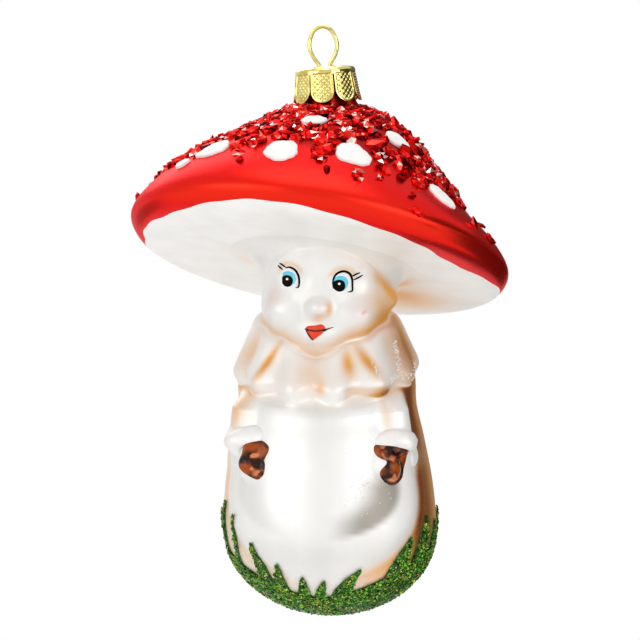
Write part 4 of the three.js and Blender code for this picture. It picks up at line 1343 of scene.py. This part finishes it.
class MUSHROOM_OT_face(bpy.types.Operator):
    """Painted face: eyes with lashes, and lips"""

    bl_idname = "mushroom.face"
    bl_label = "Painted Face"

    def execute(self, context):
        glass, _, colours = settings(context.scene)
        white = superellipse(ROUND, *EYE_WHITE)
        layers = {name: [] for name in ("eye_white", *EYE_LAYERS, "eye_line")}
        for turn, level, lid, lashes in EYES:
            spot = (turn, level * MM, *HEAD_SPAN)
            layers["eye_white"].append(enamel_patch(glass, spot, white, EYE_WHITE_RISE))
            for name, (radius, middle, rise, fill) in EYE_LAYERS.items():
                outline = clipped(radius, middle, fill * white)
                layers[name].append(enamel_patch(glass, spot, outline, rise, middle))
            layers["eye_line"].append(enamel_stroke(glass, spot, lid, *LID_STROKE))
            layers["eye_line"] += [enamel_stroke(glass, spot, lash, *LASH_STROKE) for lash in lashes]
        mouth = (MOUTH[0], MOUTH[1] * MM, *HEAD_SPAN)
        for name, (middle, rise, lip) in LIPS.items():
            layers[name] = [enamel_patch(glass, mouth, through(lip, middle), rise, middle)]
        layers["mouth_line"] = [
            enamel_stroke(glass, mouth, line, wide, MOUTH_LINE_RISE) for wide, line in MOUTH_LINES
        ]
        black = coated("black_enamel", colours.ink, colours.ink_pale, 380, 2500, 0.01 * MM, (0.5, 0.65),
                       {"Specular IOR Level": 0.04})
        finishes = {
            "eye_white": self.gloss_paint("eye_white", colours.enamel, colours.enamel_dull),
            "iris": self.gloss_paint("iris_blue", colours.iris, colours.iris_pale),
            "pupil": black,
            "glint": self.gloss_paint("glint_white", colours.enamel, None),
            "eye_line": black,
            "upper_lip": self.gloss_paint("lip_red", colours.lip, colours.lip_pale),
            "lower_lip": self.gloss_paint("lip_pink", colours.lip_pale, colours.lip),
            "mouth_line": self.gloss_paint("lip_brown", colours.lip_line, colours.mitten_deep),
        }
        for name, surfaces in layers.items():
            add_piece(f"{name}s", joined(surfaces), [finishes[name]], "glass")
        return {"FINISHED"}

    def gloss_paint(self, name, pale, deep):
        """Brushed gloss enamel."""
        return coated(name, pale, deep, 380, 2500, 0.01 * MM, (0.25, 0.4), {"Specular IOR Level": 0.3})


class MUSHROOM_OT_hands(bpy.types.Operator):
    """Brown mitten hands and white cuffs painted on the moulded arms"""

    bl_idname = "mushroom.hands"
    bl_label = "Hands and Cuffs"

    def execute(self, context):
        glass, _, colours = settings(context.scene)
        mittens, cuffs = [], []
        for turn, level, mitten, middle, cuff in HANDS:
            spot = (turn, level * MM, *BODY_SPAN)
            mittens.append(enamel_patch(glass, spot, through(mitten, middle), MITTEN_RISE, middle))
            cuffs.append(enamel_stroke(glass, spot, cuff, *CUFF_STROKE))
        amber = self.amber_lacquer(colours)
        white = coated("cuff_white", colours.enamel, colours.enamel_dull, 300, 2600, 0.03 * MM,
                       (0.4, 0.5), {"Metallic": 0.25})
        add_piece("mittens", joined(mittens), [amber], "glass")
        add_piece("cuffs", joined(cuffs), [white], "glass")
        return {"FINISHED"}

    def amber_lacquer(self, colours):
        """Glossy lacquer that runs together in dark pools and leaves amber and pale glints between them."""
        material, sheet, inputs = new_material("amber_lacquer")
        pools = sheet.between(sheet.noise(240.0, 2.0, 0.5), 0.4, 0.56)
        glints = sheet.between(sheet.noise(400.0, 1.5, 0.5), 0.58, 0.7)
        colour = sheet.mix(pools, colours.mitten, colours.mitten_deep)
        wire_up(sheet, inputs, {
            "Base Color": sheet.mix(glints, colour, colours.mitten_glint),
            "Roughness": sheet.between(pools, 0, 1, 0.2, 0.1),
            "Normal": sheet.bump(sheet.noise(600.0), 0.08 * MM),
            "Specular IOR Level": 0.2,
            "Coat Weight": 0.1,
            "Coat Roughness": 0.05,
        })
        return material


def slope_scale(glass, turn, at):
    """Metres for each degree of turn and for each ring, at places on the hat."""
    around = np.linalg.norm(glass.points(at, turn + 1) - glass.points(at, turn - 1), axis=-1) / 2
    along = np.linalg.norm(glass.points(at + 0.1, turn) - glass.points(at - 0.1, turn), axis=-1) / 0.2
    return around, along


def spot_surface(glass, rise, rng, turn, share, half_width, half_length):
    """Closed lumpy dome of enamel on the hat.

    Its edge is an oval that three sines make uneven. At a share q of the way to the edge the top stands off
    by rise (1 - q^4)^(1/4), with lumps of two crossed sines, and the underside lies in the glass.
    """
    at = np.array(glass.slope_ring(share))
    around, along = slope_scale(glass, np.array(float(turn)), at)
    phase = rng.uniform(0, 2 * math.pi, 3)
    edge = 1 + 0.05 * np.sin(3 * ROUND + phase[0]) + 0.035 * np.sin(5 * ROUND + phase[1])
    edge += 0.02 * np.sin(11 * ROUND + phase[2])
    out = SPOT_SHARES[:, None] * edge * glass.form.hat_radius
    across, down = out * half_width * np.sin(ROUND), out * half_length * np.cos(ROUND)
    lumps = 1 + 0.07 * np.sin(across / MM * 2.1 + phase[0]) * np.sin(down / MM * 2.3 + phase[1])
    top = rise * ((1 - SPOT_SHARES**4) ** 0.25)[:, None] * lumps
    places = (at + down / along, turn + across / around)
    under = np.full(down.shape, -SUNK)
    return loft(np.concatenate([glass.off(*places, top), glass.off(*places, under)[::-1]]))


class MUSHROOM_OT_spots(bpy.types.Operator):
    """Thick white enamel spots on the hat, each with its own uneven outline"""

    bl_idname = "mushroom.spots"
    bl_label = "White Spots"

    def execute(self, context):
        glass, trim, colours = settings(context.scene)
        finish = coated("spot_enamel", colours.enamel, colours.enamel_dull, 260, 2200, 0.05 * MM,
                        (0.45, 0.65), {})
        rng = np.random.default_rng(trim.spot_seed)
        for number, spot in enumerate(SPOTS, 1):
            surface = spot_surface(glass, trim.spot_rise, rng, *spot)
            add_piece(f"enamel_spot_{number}", surface, [finish], "glass",
                      [f"white_spot_{number}"])
        return {"FINISHED"}


def icosahedron():
    """Twelve corners of three golden rectangles, and the faces between close corners, turned outwards."""
    golden = (1 + math.sqrt(5)) / 2
    corners = np.array([
        np.roll([0, a, b * golden], shift) for shift in range(3) for a in (-1, 1) for b in (-1, 1)
    ])
    corners /= np.linalg.norm(corners[0])
    apart = np.linalg.norm(corners[:, None] - corners[None], axis=-1)
    close = (apart > 0.1) & (apart < 1.2)
    faces = np.argwhere(close[:, :, None] & close[:, None, :] & close[None])
    faces = faces[(faces[:, 0] < faces[:, 1]) & (faces[:, 1] < faces[:, 2])]
    a, b, c = (corners[faces[:, i]] for i in range(3))
    inward = np.einsum("ij,ij->i", a, np.cross(b, c)) < 0
    faces[inward] = faces[inward][:, ::-1]
    return corners, faces


def scatter(i, j):
    """Repeatable scatter between 0 and 1 from two whole numbers: the broken part of a large sine."""
    value = np.sin(i * 12.9898 + j * 78.233) * 43758.5453
    return value - np.floor(value)


def crust_edge(turn, share):
    """Share of the slope where the crust ends: lower at the sides, and wandering."""
    wander = 1.2 * np.sin(np.radians(3 * turn + 40)) + np.sin(np.radians(7 * turn))
    return share + 0.15 * np.sin(np.radians(turn)) ** 2 - 0.12 * bell(turn, 92, 26) + 0.03 * wander


def large_chips(glass, trim):
    """Turns and shares of the crust's large chips, in rows a pitch apart that the scatter shakes."""
    wide = glass.slope_radius - glass.neck_flare
    slope = math.hypot(wide, glass.form.hat_rise)
    tabs = glass.form.neck_radius + 3 * trim.seat_gap + trim.cap_sheet + trim.cap_flare
    start = (tabs - glass.neck_flare) / wide + 0.02
    rows = round(trim.crust_share * slope / trim.chip_pitch)
    turns, shares = [], []
    for row in range(rows):
        down = (row + 0.6) / rows
        around = 2 * math.pi * lerp(glass.neck_flare, glass.slope_radius, trim.crust_share * down)
        index = np.arange(round(around / trim.chip_pitch))
        turn = 360 * (index + 0.5 * (row % 2) + 0.6 * (scatter(row, index) - 0.5)) / len(index) - 180
        shaken = 0.4 * (scatter(index, row + 9) - 0.5) * trim.chip_pitch / slope
        turns.append(turn)
        shares.append(lerp(start, crust_edge(turn, trim.crust_share), down) + shaken)
    return np.concatenate(turns), np.concatenate(shares)


def chip_surface(glass, rng, turn, share, half_length):
    """Crushed glass: icosahedra with shaken corners, flattened and leaned at random, resting on the glass.

    Each face has its own tone, about its chip's.
    """
    corners, faces = icosahedron()
    many = len(turn)
    shaken = corners[None] * rng.uniform(0.7, 1.3, (many, 12, 1))
    size = rng.uniform([0.75, 0.55, 0.34], [1.2, 0.95, 0.55], (many, 3)) * np.reshape(half_length, (-1, 1))
    normals = glass.normals(glass.slope_ring(share), turn)
    seat = glass.off(glass.slope_ring(share), turn, rng.uniform(0.15, 0.6, many) * MM)
    surface = copies(shaken * size[:, None, :], [faces], random_axes(rng, normals, 0.35), seat)
    tone = np.clip(rng.uniform(0.1, 0.8, (many, 1)) + 0.26 * rng.normal(size=(many, len(faces))), 0, 1)
    return surface, tone.ravel()


class MUSHROOM_OT_chips(bpy.types.Operator):
    """Crust of crushed red glass round the crown of the hat, and single chips below it"""

    bl_idname = "mushroom.chips"
    bl_label = "Glass Chips"

    def execute(self, context):
        glass, trim, colours = settings(context.scene)
        rng = np.random.default_rng(trim.chip_seed)
        # The facet tones stand for light: the deepest is a painted dark reflection, and the bright ones and
        # glints are painted highlights.
        tones = (colours.chip_dark_reflection, colours.chip, colours.chip_bright, colours.chip_glint)
        sheen = {"Metallic": 0.85, "Specular Tint": colours.chip}
        finish = toned("red_glass", tones, (0.06, 0.16), sheen)
        large_turn, large_share = large_chips(glass, trim)
        tried = trim.chip_count
        turn = rng.uniform(-180, 180, tried)
        share = rng.uniform(0.035, 0.98, tried)
        end = crust_edge(turn, trim.crust_share)
        strays = 0.05 * (1 - step(share, end, end + 0.2))
        cover = np.maximum(1 - step(share, end - 0.05, end + 0.05), strays)
        room = glass.place(glass.slope_ring(share), turn)[0] / glass.slope_radius
        kept = rng.uniform(0, 1, tried) < cover * np.minimum(1, 1.9 * room)
        turn = np.concatenate([large_turn, turn[kept]])
        share = np.concatenate([large_share, share[kept]])
        size = trim.chip_length * rng.uniform(0.8, 1.4, len(turn))
        size[:len(large_turn)] = trim.chip_large
        size *= 1 - 0.3 * (1 - step(share, 0.08, 0.14))
        clear = self.off_spots(glass, turn, share)
        surface, tone = chip_surface(glass, rng, turn[clear], share[clear], size[clear])
        add_piece("crushed_glass", surface, [finish], "glass", ["chip_crust"], False,
                  masks={"tone": tone})
        for number, (lone_turn, lone_share) in enumerate(LONE_CHIPS, 1):
            beside = np.array([0.0, 1.3]) if number % 3 == 1 else np.array([0.0])
            turn, share = lone_turn + beside, lone_share + 0.012 * beside
            surface, tone = chip_surface(glass, rng, turn, share, trim.chip_length)
            add_piece(f"lone_chip_{number}", surface, [finish], "glass",
                      [f"loose_chip_{number}"], False, masks={"tone": tone})
        return {"FINISHED"}

    def off_spots(self, glass, turn, share):
        """Which places lie outside every white spot, with a small margin."""
        around, along = slope_scale(glass, turn, glass.slope_ring(share))
        clear = np.ones(len(turn), bool)
        for spot_turn, spot_share, half_width, half_length in SPOTS:
            apart = np.angle(np.exp(1j * np.radians(turn - spot_turn)), deg=True) * around
            below = (glass.slope_ring(share) - glass.slope_ring(spot_share)) * along
            wide, tall = (half * glass.form.hat_radius + 1.1 * MM for half in (half_width, half_length))
            clear &= (apart / wide) ** 2 + (below / tall) ** 2 > 1
        return clear


def turf_level(trim, turn):
    """Level of the turf line: from its front height to its side height by the squared sine of the turn."""
    share = np.sin(np.radians(np.minimum(90, np.abs(turn)))) ** 2
    return lerp(trim.turf_front, trim.turf_sides, share)


def grass_blades(trim, rng):
    """Root turn, tip turn, tip level and root half width of all blades: chosen in front, random behind."""
    behind = np.linspace(86, 274, 13)
    root = behind + rng.uniform(-4, 4, len(behind))
    root = np.where(root > 180, root - 360, root)
    tip = root + rng.uniform(-7, 7, len(root))
    level = turf_level(trim, root) / MM + rng.uniform(4, 10, len(root))
    width = rng.uniform(1.6, 2.8, len(root))
    return np.vstack([np.array(FRONT_BLADES), np.stack([root, tip, level, width], -1)])


def blade_places(trim, blades, along, across):
    """Turns and levels on blades: up to the tip the turn bends as the square and the width shrinks to 0."""
    root, tip, top, width = (blades[:, i, None, None] for i in range(4))
    rooted, round_foot = 2.5 * MM, 23.5 * MM
    foot = turf_level(trim, blades[:, 0])[:, None, None] - rooted
    level = lerp(foot, top * MM, along)
    half = np.degrees(width * MM / round_foot) * (1 - along**1.6)
    return lerp(root, tip, along**2) + half * across, level


class MUSHROOM_OT_grass(bpy.types.Operator):
    """Grass on the foot: a dark bed of glue with pointed blades, covered in green glitter flakes"""

    bl_idname = "mushroom.grass"
    bl_label = "Glitter Grass"

    def execute(self, context):
        glass, trim, colours = settings(context.scene)
        rng = np.random.default_rng(trim.flake_seed)
        blades = grass_blades(trim, rng)
        bed = [self.turf(glass, trim)] + self.blade_beds(glass, trim, blades)
        glue = coated("glitter_glue", colours.grass_deep, colours.grass, 500, 3000, 0.15 * MM,
                      (0.3, 0.5), {})
        add_piece("grass_bed", joined(bed), [glue], "glass", ["grass_band"])
        many = trim.flake_count
        turn, level = self.flake_places(trim, rng, blades, many)
        at = glass.at_level(turn, level, 0.0, BODY_SPAN[1])
        seat = glass.off(at, turn, trim.turf_rise * rng.uniform(0.75, 1.1, many))
        square = ((-1, -1), (1, -1), (1, 1), (-1, 1))
        corners = np.array([(x, y, z) for z in (-0.12, 0.12) for x, y in square], float)
        sides = [(i, (i + 1) % 4, (i + 1) % 4 + 4, i + 4) for i in range(4)]
        faces = np.array([(3, 2, 1, 0), (4, 5, 6, 7)] + sides)
        size = trim.flake_size * rng.uniform(0.7, 1.5, (many, 1, 1))
        turned = random_axes(rng, glass.normals(at, turn), 0.4)
        tones = (colours.grass_deep, colours.grass, colours.grass_bright, colours.grass_gold)
        finish = toned("green_glitter", tones, (0.16, 0.3), {"Metallic": 0.6})
        surface = copies(corners[None] * size, [faces], turned, seat)
        tone = np.repeat(rng.uniform(0, 1, many) ** 1.1, len(corners))
        add_piece("grass_glitter", surface, [finish], "glass", smooth=False,
                  masks={"tone": tone})
        return {"FINISHED"}

    def flake_places(self, trim, rng, blades, many):
        """Turns and levels of flakes: a third on the blades by their width, the rest even over the turf."""
        on_blade = rng.uniform(0, 1, many) < 0.34
        which = rng.choice(len(blades), many, p=blades[:, 3] / blades[:, 3].sum())
        along = rng.uniform(0.1, 0.98, (many, 1, 1))
        across = rng.uniform(-1, 1, (many, 1, 1))
        turn_up, level_up = blade_places(trim, blades[which], along, across)
        turn = np.where(on_blade, turn_up.ravel(), rng.uniform(-180, 180, many))
        ground = turf_level(trim, turn) * np.sqrt(rng.uniform(0.0, 1, many))
        return turn, np.where(on_blade, level_up.ravel(), ground)

    def turf(self, glass, trim):
        """Thin closed bed from the foot to the turf line, its upper edge rounded off."""
        turn = np.linspace(-180, 180, TURF_COLUMNS, endpoint=False)[None, :]
        share = np.linspace(0, 1, TURF_ROWS)[:, None]
        edge = glass.at_level(turn, turf_level(trim, turn), 0.0, BODY_SPAN[1])
        at = share * edge
        lift = trim.turf_rise * np.sqrt(1 - share**8) * np.ones_like(turn)
        outside = glass.off(at, turn, lift)
        inside = glass.off(at, turn, np.full(lift.shape, -SUNK))[::-1]
        return loft(np.concatenate([outside, inside]))

    def blade_beds(self, glass, trim, blades):
        """Blades as closed tapered strips with an oval section."""
        along = np.linspace(0, 1, BLADE_ROWS)[None, :, None]
        around = np.linspace(0, 2 * math.pi, BLADE_SIDES, endpoint=False)[None, None, :]
        turn, level = blade_places(trim, blades, along, np.cos(around))
        at = glass.at_level(turn, level, 0.0, BODY_SPAN[1])
        lift = trim.turf_rise * np.sqrt(1 - along**4) * np.sin(around) * np.ones_like(turn)
        places = glass.off(at, turn, lift)
        root = places[:, :1].mean(2, keepdims=True) * np.ones((1, 1, BLADE_SIDES, 1))
        return [loft(one) for one in np.concatenate([root, places], 1)]


class MUSHROOM_OT_frost(bpy.types.Operator):
    """Fine frost grains on the collar's hem and a dusting on the belly"""

    bl_idname = "mushroom.frost"
    bl_label = "Frost Grains"

    def execute(self, context):
        glass, trim, colours = settings(context.scene)
        rng = np.random.default_rng(trim.frost_seed)
        ups, turns = [], []
        for grains, low, high, middle, base, slant, spread in FROST_RIDGES:
            up = rng.uniform(low, high, grains)
            ups.append(up)
            turns.append(middle + slant * (up - base) + spread * rng.normal(size=grains))
        ridge_turn = np.concatenate(turns)
        ridge_at = glass.at_level(ridge_turn, np.concatenate(ups) * MM, *COLLAR_SPAN)
        grains, low, high, middle, spread = FROST_HEM
        hem_turn = rng.uniform(low, high, grains)
        hem_at = middle + spread * rng.normal(size=grains)
        grains, middle, spread, level, tall = FROST_BELLY
        belly_turn = middle + spread * rng.normal(size=grains)
        belly_up = level + tall * rng.normal(size=grains)
        belly_at = glass.at_level(belly_turn, belly_up * MM, *BODY_SPAN)
        turn = np.concatenate([hem_turn, ridge_turn, belly_turn])
        at = np.concatenate([hem_at, ridge_at, belly_at])
        many = len(turn)
        corners = np.concatenate([np.eye(3), -np.eye(3)])
        sides = ((0, 1), (1, 3), (3, 4), (4, 0))
        faces = np.array([(a, b, 2) for a, b in sides] + [(b, a, 5) for a, b in sides])
        size = rng.uniform(*GRAIN_SIZES, (many, 1, 1))
        seat = glass.off(at, turn, np.full(many, 0.08 * MM))
        turned = random_axes(rng, glass.normals(at, turn), 0.6)
        white = colours.enamel
        finish = toned("frost", (colours.enamel_dull, white, white, white), (0.3, 0.5), {})
        surface = copies(corners[None] * size, [faces], turned, seat)
        tone = np.repeat(rng.uniform(0, 1, many), len(corners))
        add_piece("frost_grains", surface, [finish], "glass", smooth=False,
                  masks={"tone": tone})
        return {"FINISHED"}


def gold_plate(colours, name, blotch_scale):
    """Bright gold plate with faint tarnish."""
    return coated(name, colours.gold, colours.gold_dull, blotch_scale, 2600, 0.006 * MM,
                  (0.1, 0.2), {"Metallic": 1.0})


def cap_columns(trim, flared, half):
    """Columns of the cap: arcs from the middle of each one's tab, crowded at the tab's sides, and turns."""
    inside_tab = half * np.sin(np.linspace(-math.pi / 2, math.pi / 2, TAB_COLUMNS))
    slit = half + trim.cap_slit * np.array([0.06, 0.5, 0.94])
    across = np.concatenate([inside_tab, slit])
    pitch = 2 * math.pi * flared / trim.cap_tabs
    tabs = np.arange(trim.cap_tabs)[:, None]
    return np.tile(across, trim.cap_tabs), ((across + tabs * pitch) / flared).ravel()


def cap_surface(glass, trim):
    """Closed sheet of the cap: rows from its hole over the dome, down the outside and back up the inside.

    A tab ends in a half circle, and the slits end at the band under the rim. The wall flares straight
    outwards on its way down. Each tab is sunk inside a plain border, but for dots where the product of two
    cosines, squared, rises.
    """
    radius = glass.form.neck_radius + trim.seat_gap + trim.cap_sheet
    flared = radius + trim.cap_flare
    half = math.pi * flared / trim.cap_tabs - trim.cap_slit / 2
    across, turn = cap_columns(trim, flared, half)
    in_tab = np.abs(across) <= half * 1.0001
    rim = glass.cap_top - trim.cap_rim
    bend = trim.cap_clearance + half
    end = np.where(in_tab, bend - np.sqrt(np.maximum(half**2 - across**2, 0)), rim)
    height = lerp(glass.cap_top - trim.cap_sheet, end, np.linspace(0, 1, CAP_ROWS)[:, None])
    fallen = (glass.cap_top - height) / (glass.cap_top - trim.cap_clearance)
    wall = radius + trim.cap_flare * np.clip(fallen, 0, 1)
    inset = half - np.hypot(across, np.maximum(bend - height, 0))
    field = step(inset, 0.35 * MM, 0.6 * MM) * (1 - step(height, rim - 0.1 * MM, rim + 0.4 * MM)) * in_tab
    waves = 2 * math.pi / trim.cap_dot
    dots = np.maximum(0, np.cos(waves * across) * np.cos(waves * height)) ** 2
    embossed = wall + field * (dots - 1) * trim.cap_emboss
    dome = np.array([
        (trim.cap_hole, trim.cap_dome),
        (0.45 * radius, 0.9 * trim.cap_dome),
        (0.75 * radius, 0.55 * trim.cap_dome),
        (radius - trim.cap_sheet, 0.1 * trim.cap_dome),
        (radius - 0.3 * trim.cap_sheet, -0.25 * trim.cap_sheet),
    ])
    lining = dome[:4]
    apart = 0.02 * MM
    every = np.ones((1, len(turn)))
    radii = np.concatenate([
        dome[:, :1] * every,
        embossed,
        (wall - trim.cap_sheet)[::-1],
        np.maximum(lining[::-1, :1] - apart, trim.cap_hole) * every,
    ])
    heights = np.concatenate([
        (glass.cap_top + dome[:, 1:]) * every,
        height,
        np.minimum(height, glass.cap_seat - apart)[::-1],
        (glass.cap_seat + lining[::-1, 1:]) * every,
    ])
    points = np.stack([radii * np.sin(turn), -radii * np.cos(turn), heights], -1)
    return loft(glass.on_neck(points), ringed=True)


class MUSHROOM_OT_crown(bpy.types.Operator):
    """Stamped cap with round-ended tabs and an embossed grid of dots"""

    bl_idname = "mushroom.crown"
    bl_label = "Crown Cap"

    def execute(self, context):
        glass, trim, colours = settings(context.scene)
        gold = gold_plate(colours, "gold_cap_plate", 420)
        add_piece("gold_cap", cap_surface(glass, trim), [gold], "crown", ["crown_cap"])
        return {"FINISHED"}


def wire_surface(glass, trim):
    """Closed round wire along a Catmull-Rom curve: up a leg, over the loop and down the other leg.

    The section is a circle across the curve, and it closes to a point at both ends.
    """
    spread = glass.form.neck_radius - glass.form.glass_wall - trim.wire_radius - trim.seat_gap
    throat = trim.cap_hole - trim.wire_radius - trim.seat_gap
    wide = trim.loop_width / 2 - trim.wire_radius
    top = glass.cap_top + trim.cap_dome
    side = np.array([
        (spread, top - trim.leg_length),
        (0.8 * spread, top - 0.6 * trim.leg_length),
        (0.85 * throat, top - 0.2 * trim.leg_length),
        (0.85 * throat, top),
        (0.8 * wide, top + 0.25 * trim.loop_height),
        (wide, top + 0.52 * trim.loop_height),
        (0.66 * wide, top + 0.84 * trim.loop_height),
    ])
    arch = np.array([(0, top + trim.loop_height - trim.wire_radius)])
    line = smooth_path(np.vstack([side, arch, side[::-1] * [-1, 1]]), WIRE_STEPS)
    across = sideways(line)
    around = np.linspace(0, 2 * math.pi, WIRE_SIDES, endpoint=False)
    ends = np.ones(len(line))
    ends[[0, -1]] = 0
    ends[[1, -2]] = 0.8
    reach = (trim.wire_share * trim.wire_radius * ends)[:, None]
    x = line[:, :1] + across[:, :1] * reach * np.cos(around)
    z = line[:, 1:] + across[:, 1:] * reach * np.cos(around)
    return loft(glass.on_neck(np.stack([x, reach * np.sin(around), z], -1)))


class MUSHROOM_OT_hanger(bpy.types.Operator):
    """Spring wire: a leg up through the cap, over the loop and down the other leg"""

    bl_idname = "mushroom.hanger"
    bl_label = "Hanger Wire"

    def execute(self, context):
        glass, trim, colours = settings(context.scene)
        gold = gold_plate(colours, "gold_wire_plate", 700)
        add_piece("gold_wire", wire_surface(glass, trim), [gold], "hanger", ["hanger_wire"])
        return {"FINISHED"}


def seen_white(sheet, mirrors):
    """1 for the camera and through glass, and a share of it for mirrors."""
    path = sheet.add("ShaderNodeLightPath").outputs
    mirrored = sheet.math("MULTIPLY", path["Is Glossy Ray"], mirrors)
    through_glass = sheet.math("MAXIMUM", mirrored, path["Is Transmission Ray"])
    return sheet.math("MAXIMUM", path["Is Camera Ray"], through_glass)


class MUSHROOM_OT_stage(bpy.types.Operator):
    """White floor far below, soft studio light and the camera"""

    bl_idname = "mushroom.stage"
    bl_label = "Stage"

    def execute(self, context):
        glass = BlownGlass(context.scene)
        self.camera(context.scene, glass)
        self.floor(context.scene, glass)
        self.world(context.scene)
        middle = Vector((0, 0, FIGURE_MIDDLE - glass.origin[2]))
        for name, away, size, watts in LAMPS:
            self.lamp(context.scene, name, middle + Vector(away), middle, size, watts)
        for name, turns, grey, profile in CARDS:
            self.card(context.scene, glass, name, turns, grey, profile)
        context.scene.view_settings.view_transform = "Standard"
        return {"FINISHED"}

    def camera(self, scene, glass):
        """Camera to the right of the figure and above its middle, as wide as the picture at the figure."""
        data = bpy.data.cameras.new("camera")
        camera = bpy.data.objects.new("camera", data)
        scene.collection.objects.link(camera)
        azimuth, elevation = math.radians(CAMERA_RIGHT), math.radians(CAMERA_ABOVE)
        right = Vector((math.cos(azimuth), math.sin(azimuth), 0))
        front = Vector((math.sin(azimuth), -math.cos(azimuth), 0))
        back = front * math.cos(elevation) + Vector((0, 0, math.sin(elevation)))
        beside, above = PICTURE_MIDDLE
        aim = right * beside + Vector((0, 0, above)) - Vector(glass.origin)
        camera.location = aim + back * CAMERA_DISTANCE
        camera.rotation_euler = (-back).to_track_quat("-Z", "Y").to_euler()
        data.lens = data.sensor_width * CAMERA_DISTANCE / PICTURE_WIDTH
        data.clip_start, data.clip_end = 0.01, 50
        scene.camera = camera

    def floor(self, scene, glass):
        """Pale floor under the ornament: white to the camera and to mirrors, with a faint shadow."""
        material = bpy.data.materials.new("stage_white")
        material.use_nodes = True
        sheet = Sheet(material.node_tree)
        material.node_tree.nodes.clear()
        seen = seen_white(sheet, 0.6)
        near = sheet.add("ShaderNodeVectorMath", {0: sheet.coords()}, operation="LENGTH").outputs["Value"]
        colour = sheet.mix(sheet.noise(3.0), (0.9, 0.9, 0.9), (0.94, 0.94, 0.94))
        plain = sheet.add("ShaderNodeBsdfDiffuse", {"Color": colour}).outputs[0]
        glow = sheet.add("ShaderNodeEmission", {"Color": (1, 1, 1, 1), "Strength": 1.0}).outputs[0]
        factor = sheet.math("MULTIPLY", seen, sheet.between(near, 0.25, 0.6, 0.82, 1.0))
        mixed = sheet.add("ShaderNodeMixShader", {0: factor, 1: plain, 2: glow}).outputs[0]
        sheet.add("ShaderNodeOutputMaterial", {"Surface": mixed})
        mesh = bpy.data.meshes.new("stage_floor")
        level = FLOOR_LEVEL - glass.origin[2]
        size = 4.0
        corners = [(-size, -size, level), (size, -size, level), (size, size, level), (-size, size, level)]
        mesh.from_pydata(corners, [], [(0, 1, 2, 3)])
        mesh.materials.append(material)
        floor = bpy.data.objects.new("stage_floor", mesh)
        scene.collection.objects.link(floor)

    def world(self, scene):
        """White to the camera and to mirrors, a plain soft grey as light."""
        world = bpy.data.worlds.new("studio")
        scene.world = world
        world.use_nodes = True
        sheet = Sheet(world.node_tree)
        world.node_tree.nodes.clear()
        seen = seen_white(sheet, 0.7)
        soft = sheet.add("ShaderNodeBackground", {"Color": (1, 1, 1, 1), "Strength": 0.47}).outputs[0]
        white = sheet.add("ShaderNodeBackground", {"Color": (1, 1, 1, 1), "Strength": 1.0}).outputs[0]
        mixed = sheet.add("ShaderNodeMixShader", {0: seen, 1: soft, 2: white}).outputs[0]
        sheet.add("ShaderNodeOutputWorld", {"Surface": mixed})

    def lamp(self, scene, name, place, target, size, watts):
        """Square soft box that faces the figure."""
        data = bpy.data.lights.new(name, "AREA")
        data.size = size
        data.energy = watts
        lamp = bpy.data.objects.new(name, data)
        scene.collection.objects.link(lamp)
        lamp.location = place
        lamp.rotation_euler = (target - place).to_track_quat("-Z", "Y").to_euler()

    def card(self, scene, glass, name, turns, grey, profile):
        """Grey card that only mirrors see: a profile of radius and level swept between two turns."""
        material = coated(f"{name}_card", (grey,) * 3, (1.2 * grey,) * 3, 5, 50, 0.1 * MM, (0.8, 0.9), {})
        columns = 24
        turn = np.radians(np.linspace(*turns, columns))
        rings = [
            np.stack([r * np.sin(turn), -r * np.cos(turn), np.full(columns, level - glass.origin[2])], -1)
            for r, level in profile
        ]
        here = np.concatenate([np.arange(columns - 1) + columns * i for i in range(len(profile) - 1)])
        mesh = bpy.data.meshes.new(f"stage_{name}_card")
        faces = np.stack([here, here + 1, here + columns + 1, here + columns], -1)
        mesh.from_pydata(np.concatenate(rings).tolist(), [], faces.tolist())
        mesh.materials.append(material)
        card = bpy.data.objects.new(f"stage_{name}_card", mesh)
        scene.collection.objects.link(card)
        card.visible_camera = False
        card.visible_diffuse = False
        card.visible_shadow = False
        card.visible_transmission = False


OPERATORS = (
    MUSHROOM_OT_glass_shell,
    MUSHROOM_OT_face,
    MUSHROOM_OT_hands,
    MUSHROOM_OT_spots,
    MUSHROOM_OT_chips,
    MUSHROOM_OT_grass,
    MUSHROOM_OT_frost,
    MUSHROOM_OT_crown,
    MUSHROOM_OT_hanger,
    MUSHROOM_OT_stage,
)


class MUSHROOM_PT_panel(bpy.types.Panel):
    """Buttons for each piece"""

    bl_label = "Mushroom Ornament"
    bl_idname = "MUSHROOM_PT_panel"
    bl_space_type = "VIEW_3D"
    bl_region_type = "UI"
    bl_category = "Mushroom"

    def draw(self, context):
        for operator in OPERATORS:
            self.layout.operator(operator.bl_idname)
        scene = context.scene
        for group in (scene.mushroom_form, scene.mushroom_trim, scene.mushroom_paint):
            box = self.layout.box()
            for name in group.__annotations__:
                box.prop(group, name)


CLASSES = (MushroomForm, MushroomTrim, MushroomPaint, *OPERATORS, MUSHROOM_PT_panel)


def register():
    for one in CLASSES:
        bpy.utils.register_class(one)
    bpy.types.Scene.mushroom_form = PointerProperty(type=MushroomForm)
    bpy.types.Scene.mushroom_trim = PointerProperty(type=MushroomTrim)
    bpy.types.Scene.mushroom_paint = PointerProperty(type=MushroomPaint)


def unregister():
    del bpy.types.Scene.mushroom_paint
    del bpy.types.Scene.mushroom_trim
    del bpy.types.Scene.mushroom_form
    for one in reversed(CLASSES):
        bpy.utils.unregister_class(one)


def main():
    register()
    for operator in OPERATORS:
        group, name = operator.bl_idname.split(".")
        getattr(getattr(bpy.ops, group), name)()


if __name__ == "__main__":
    main()
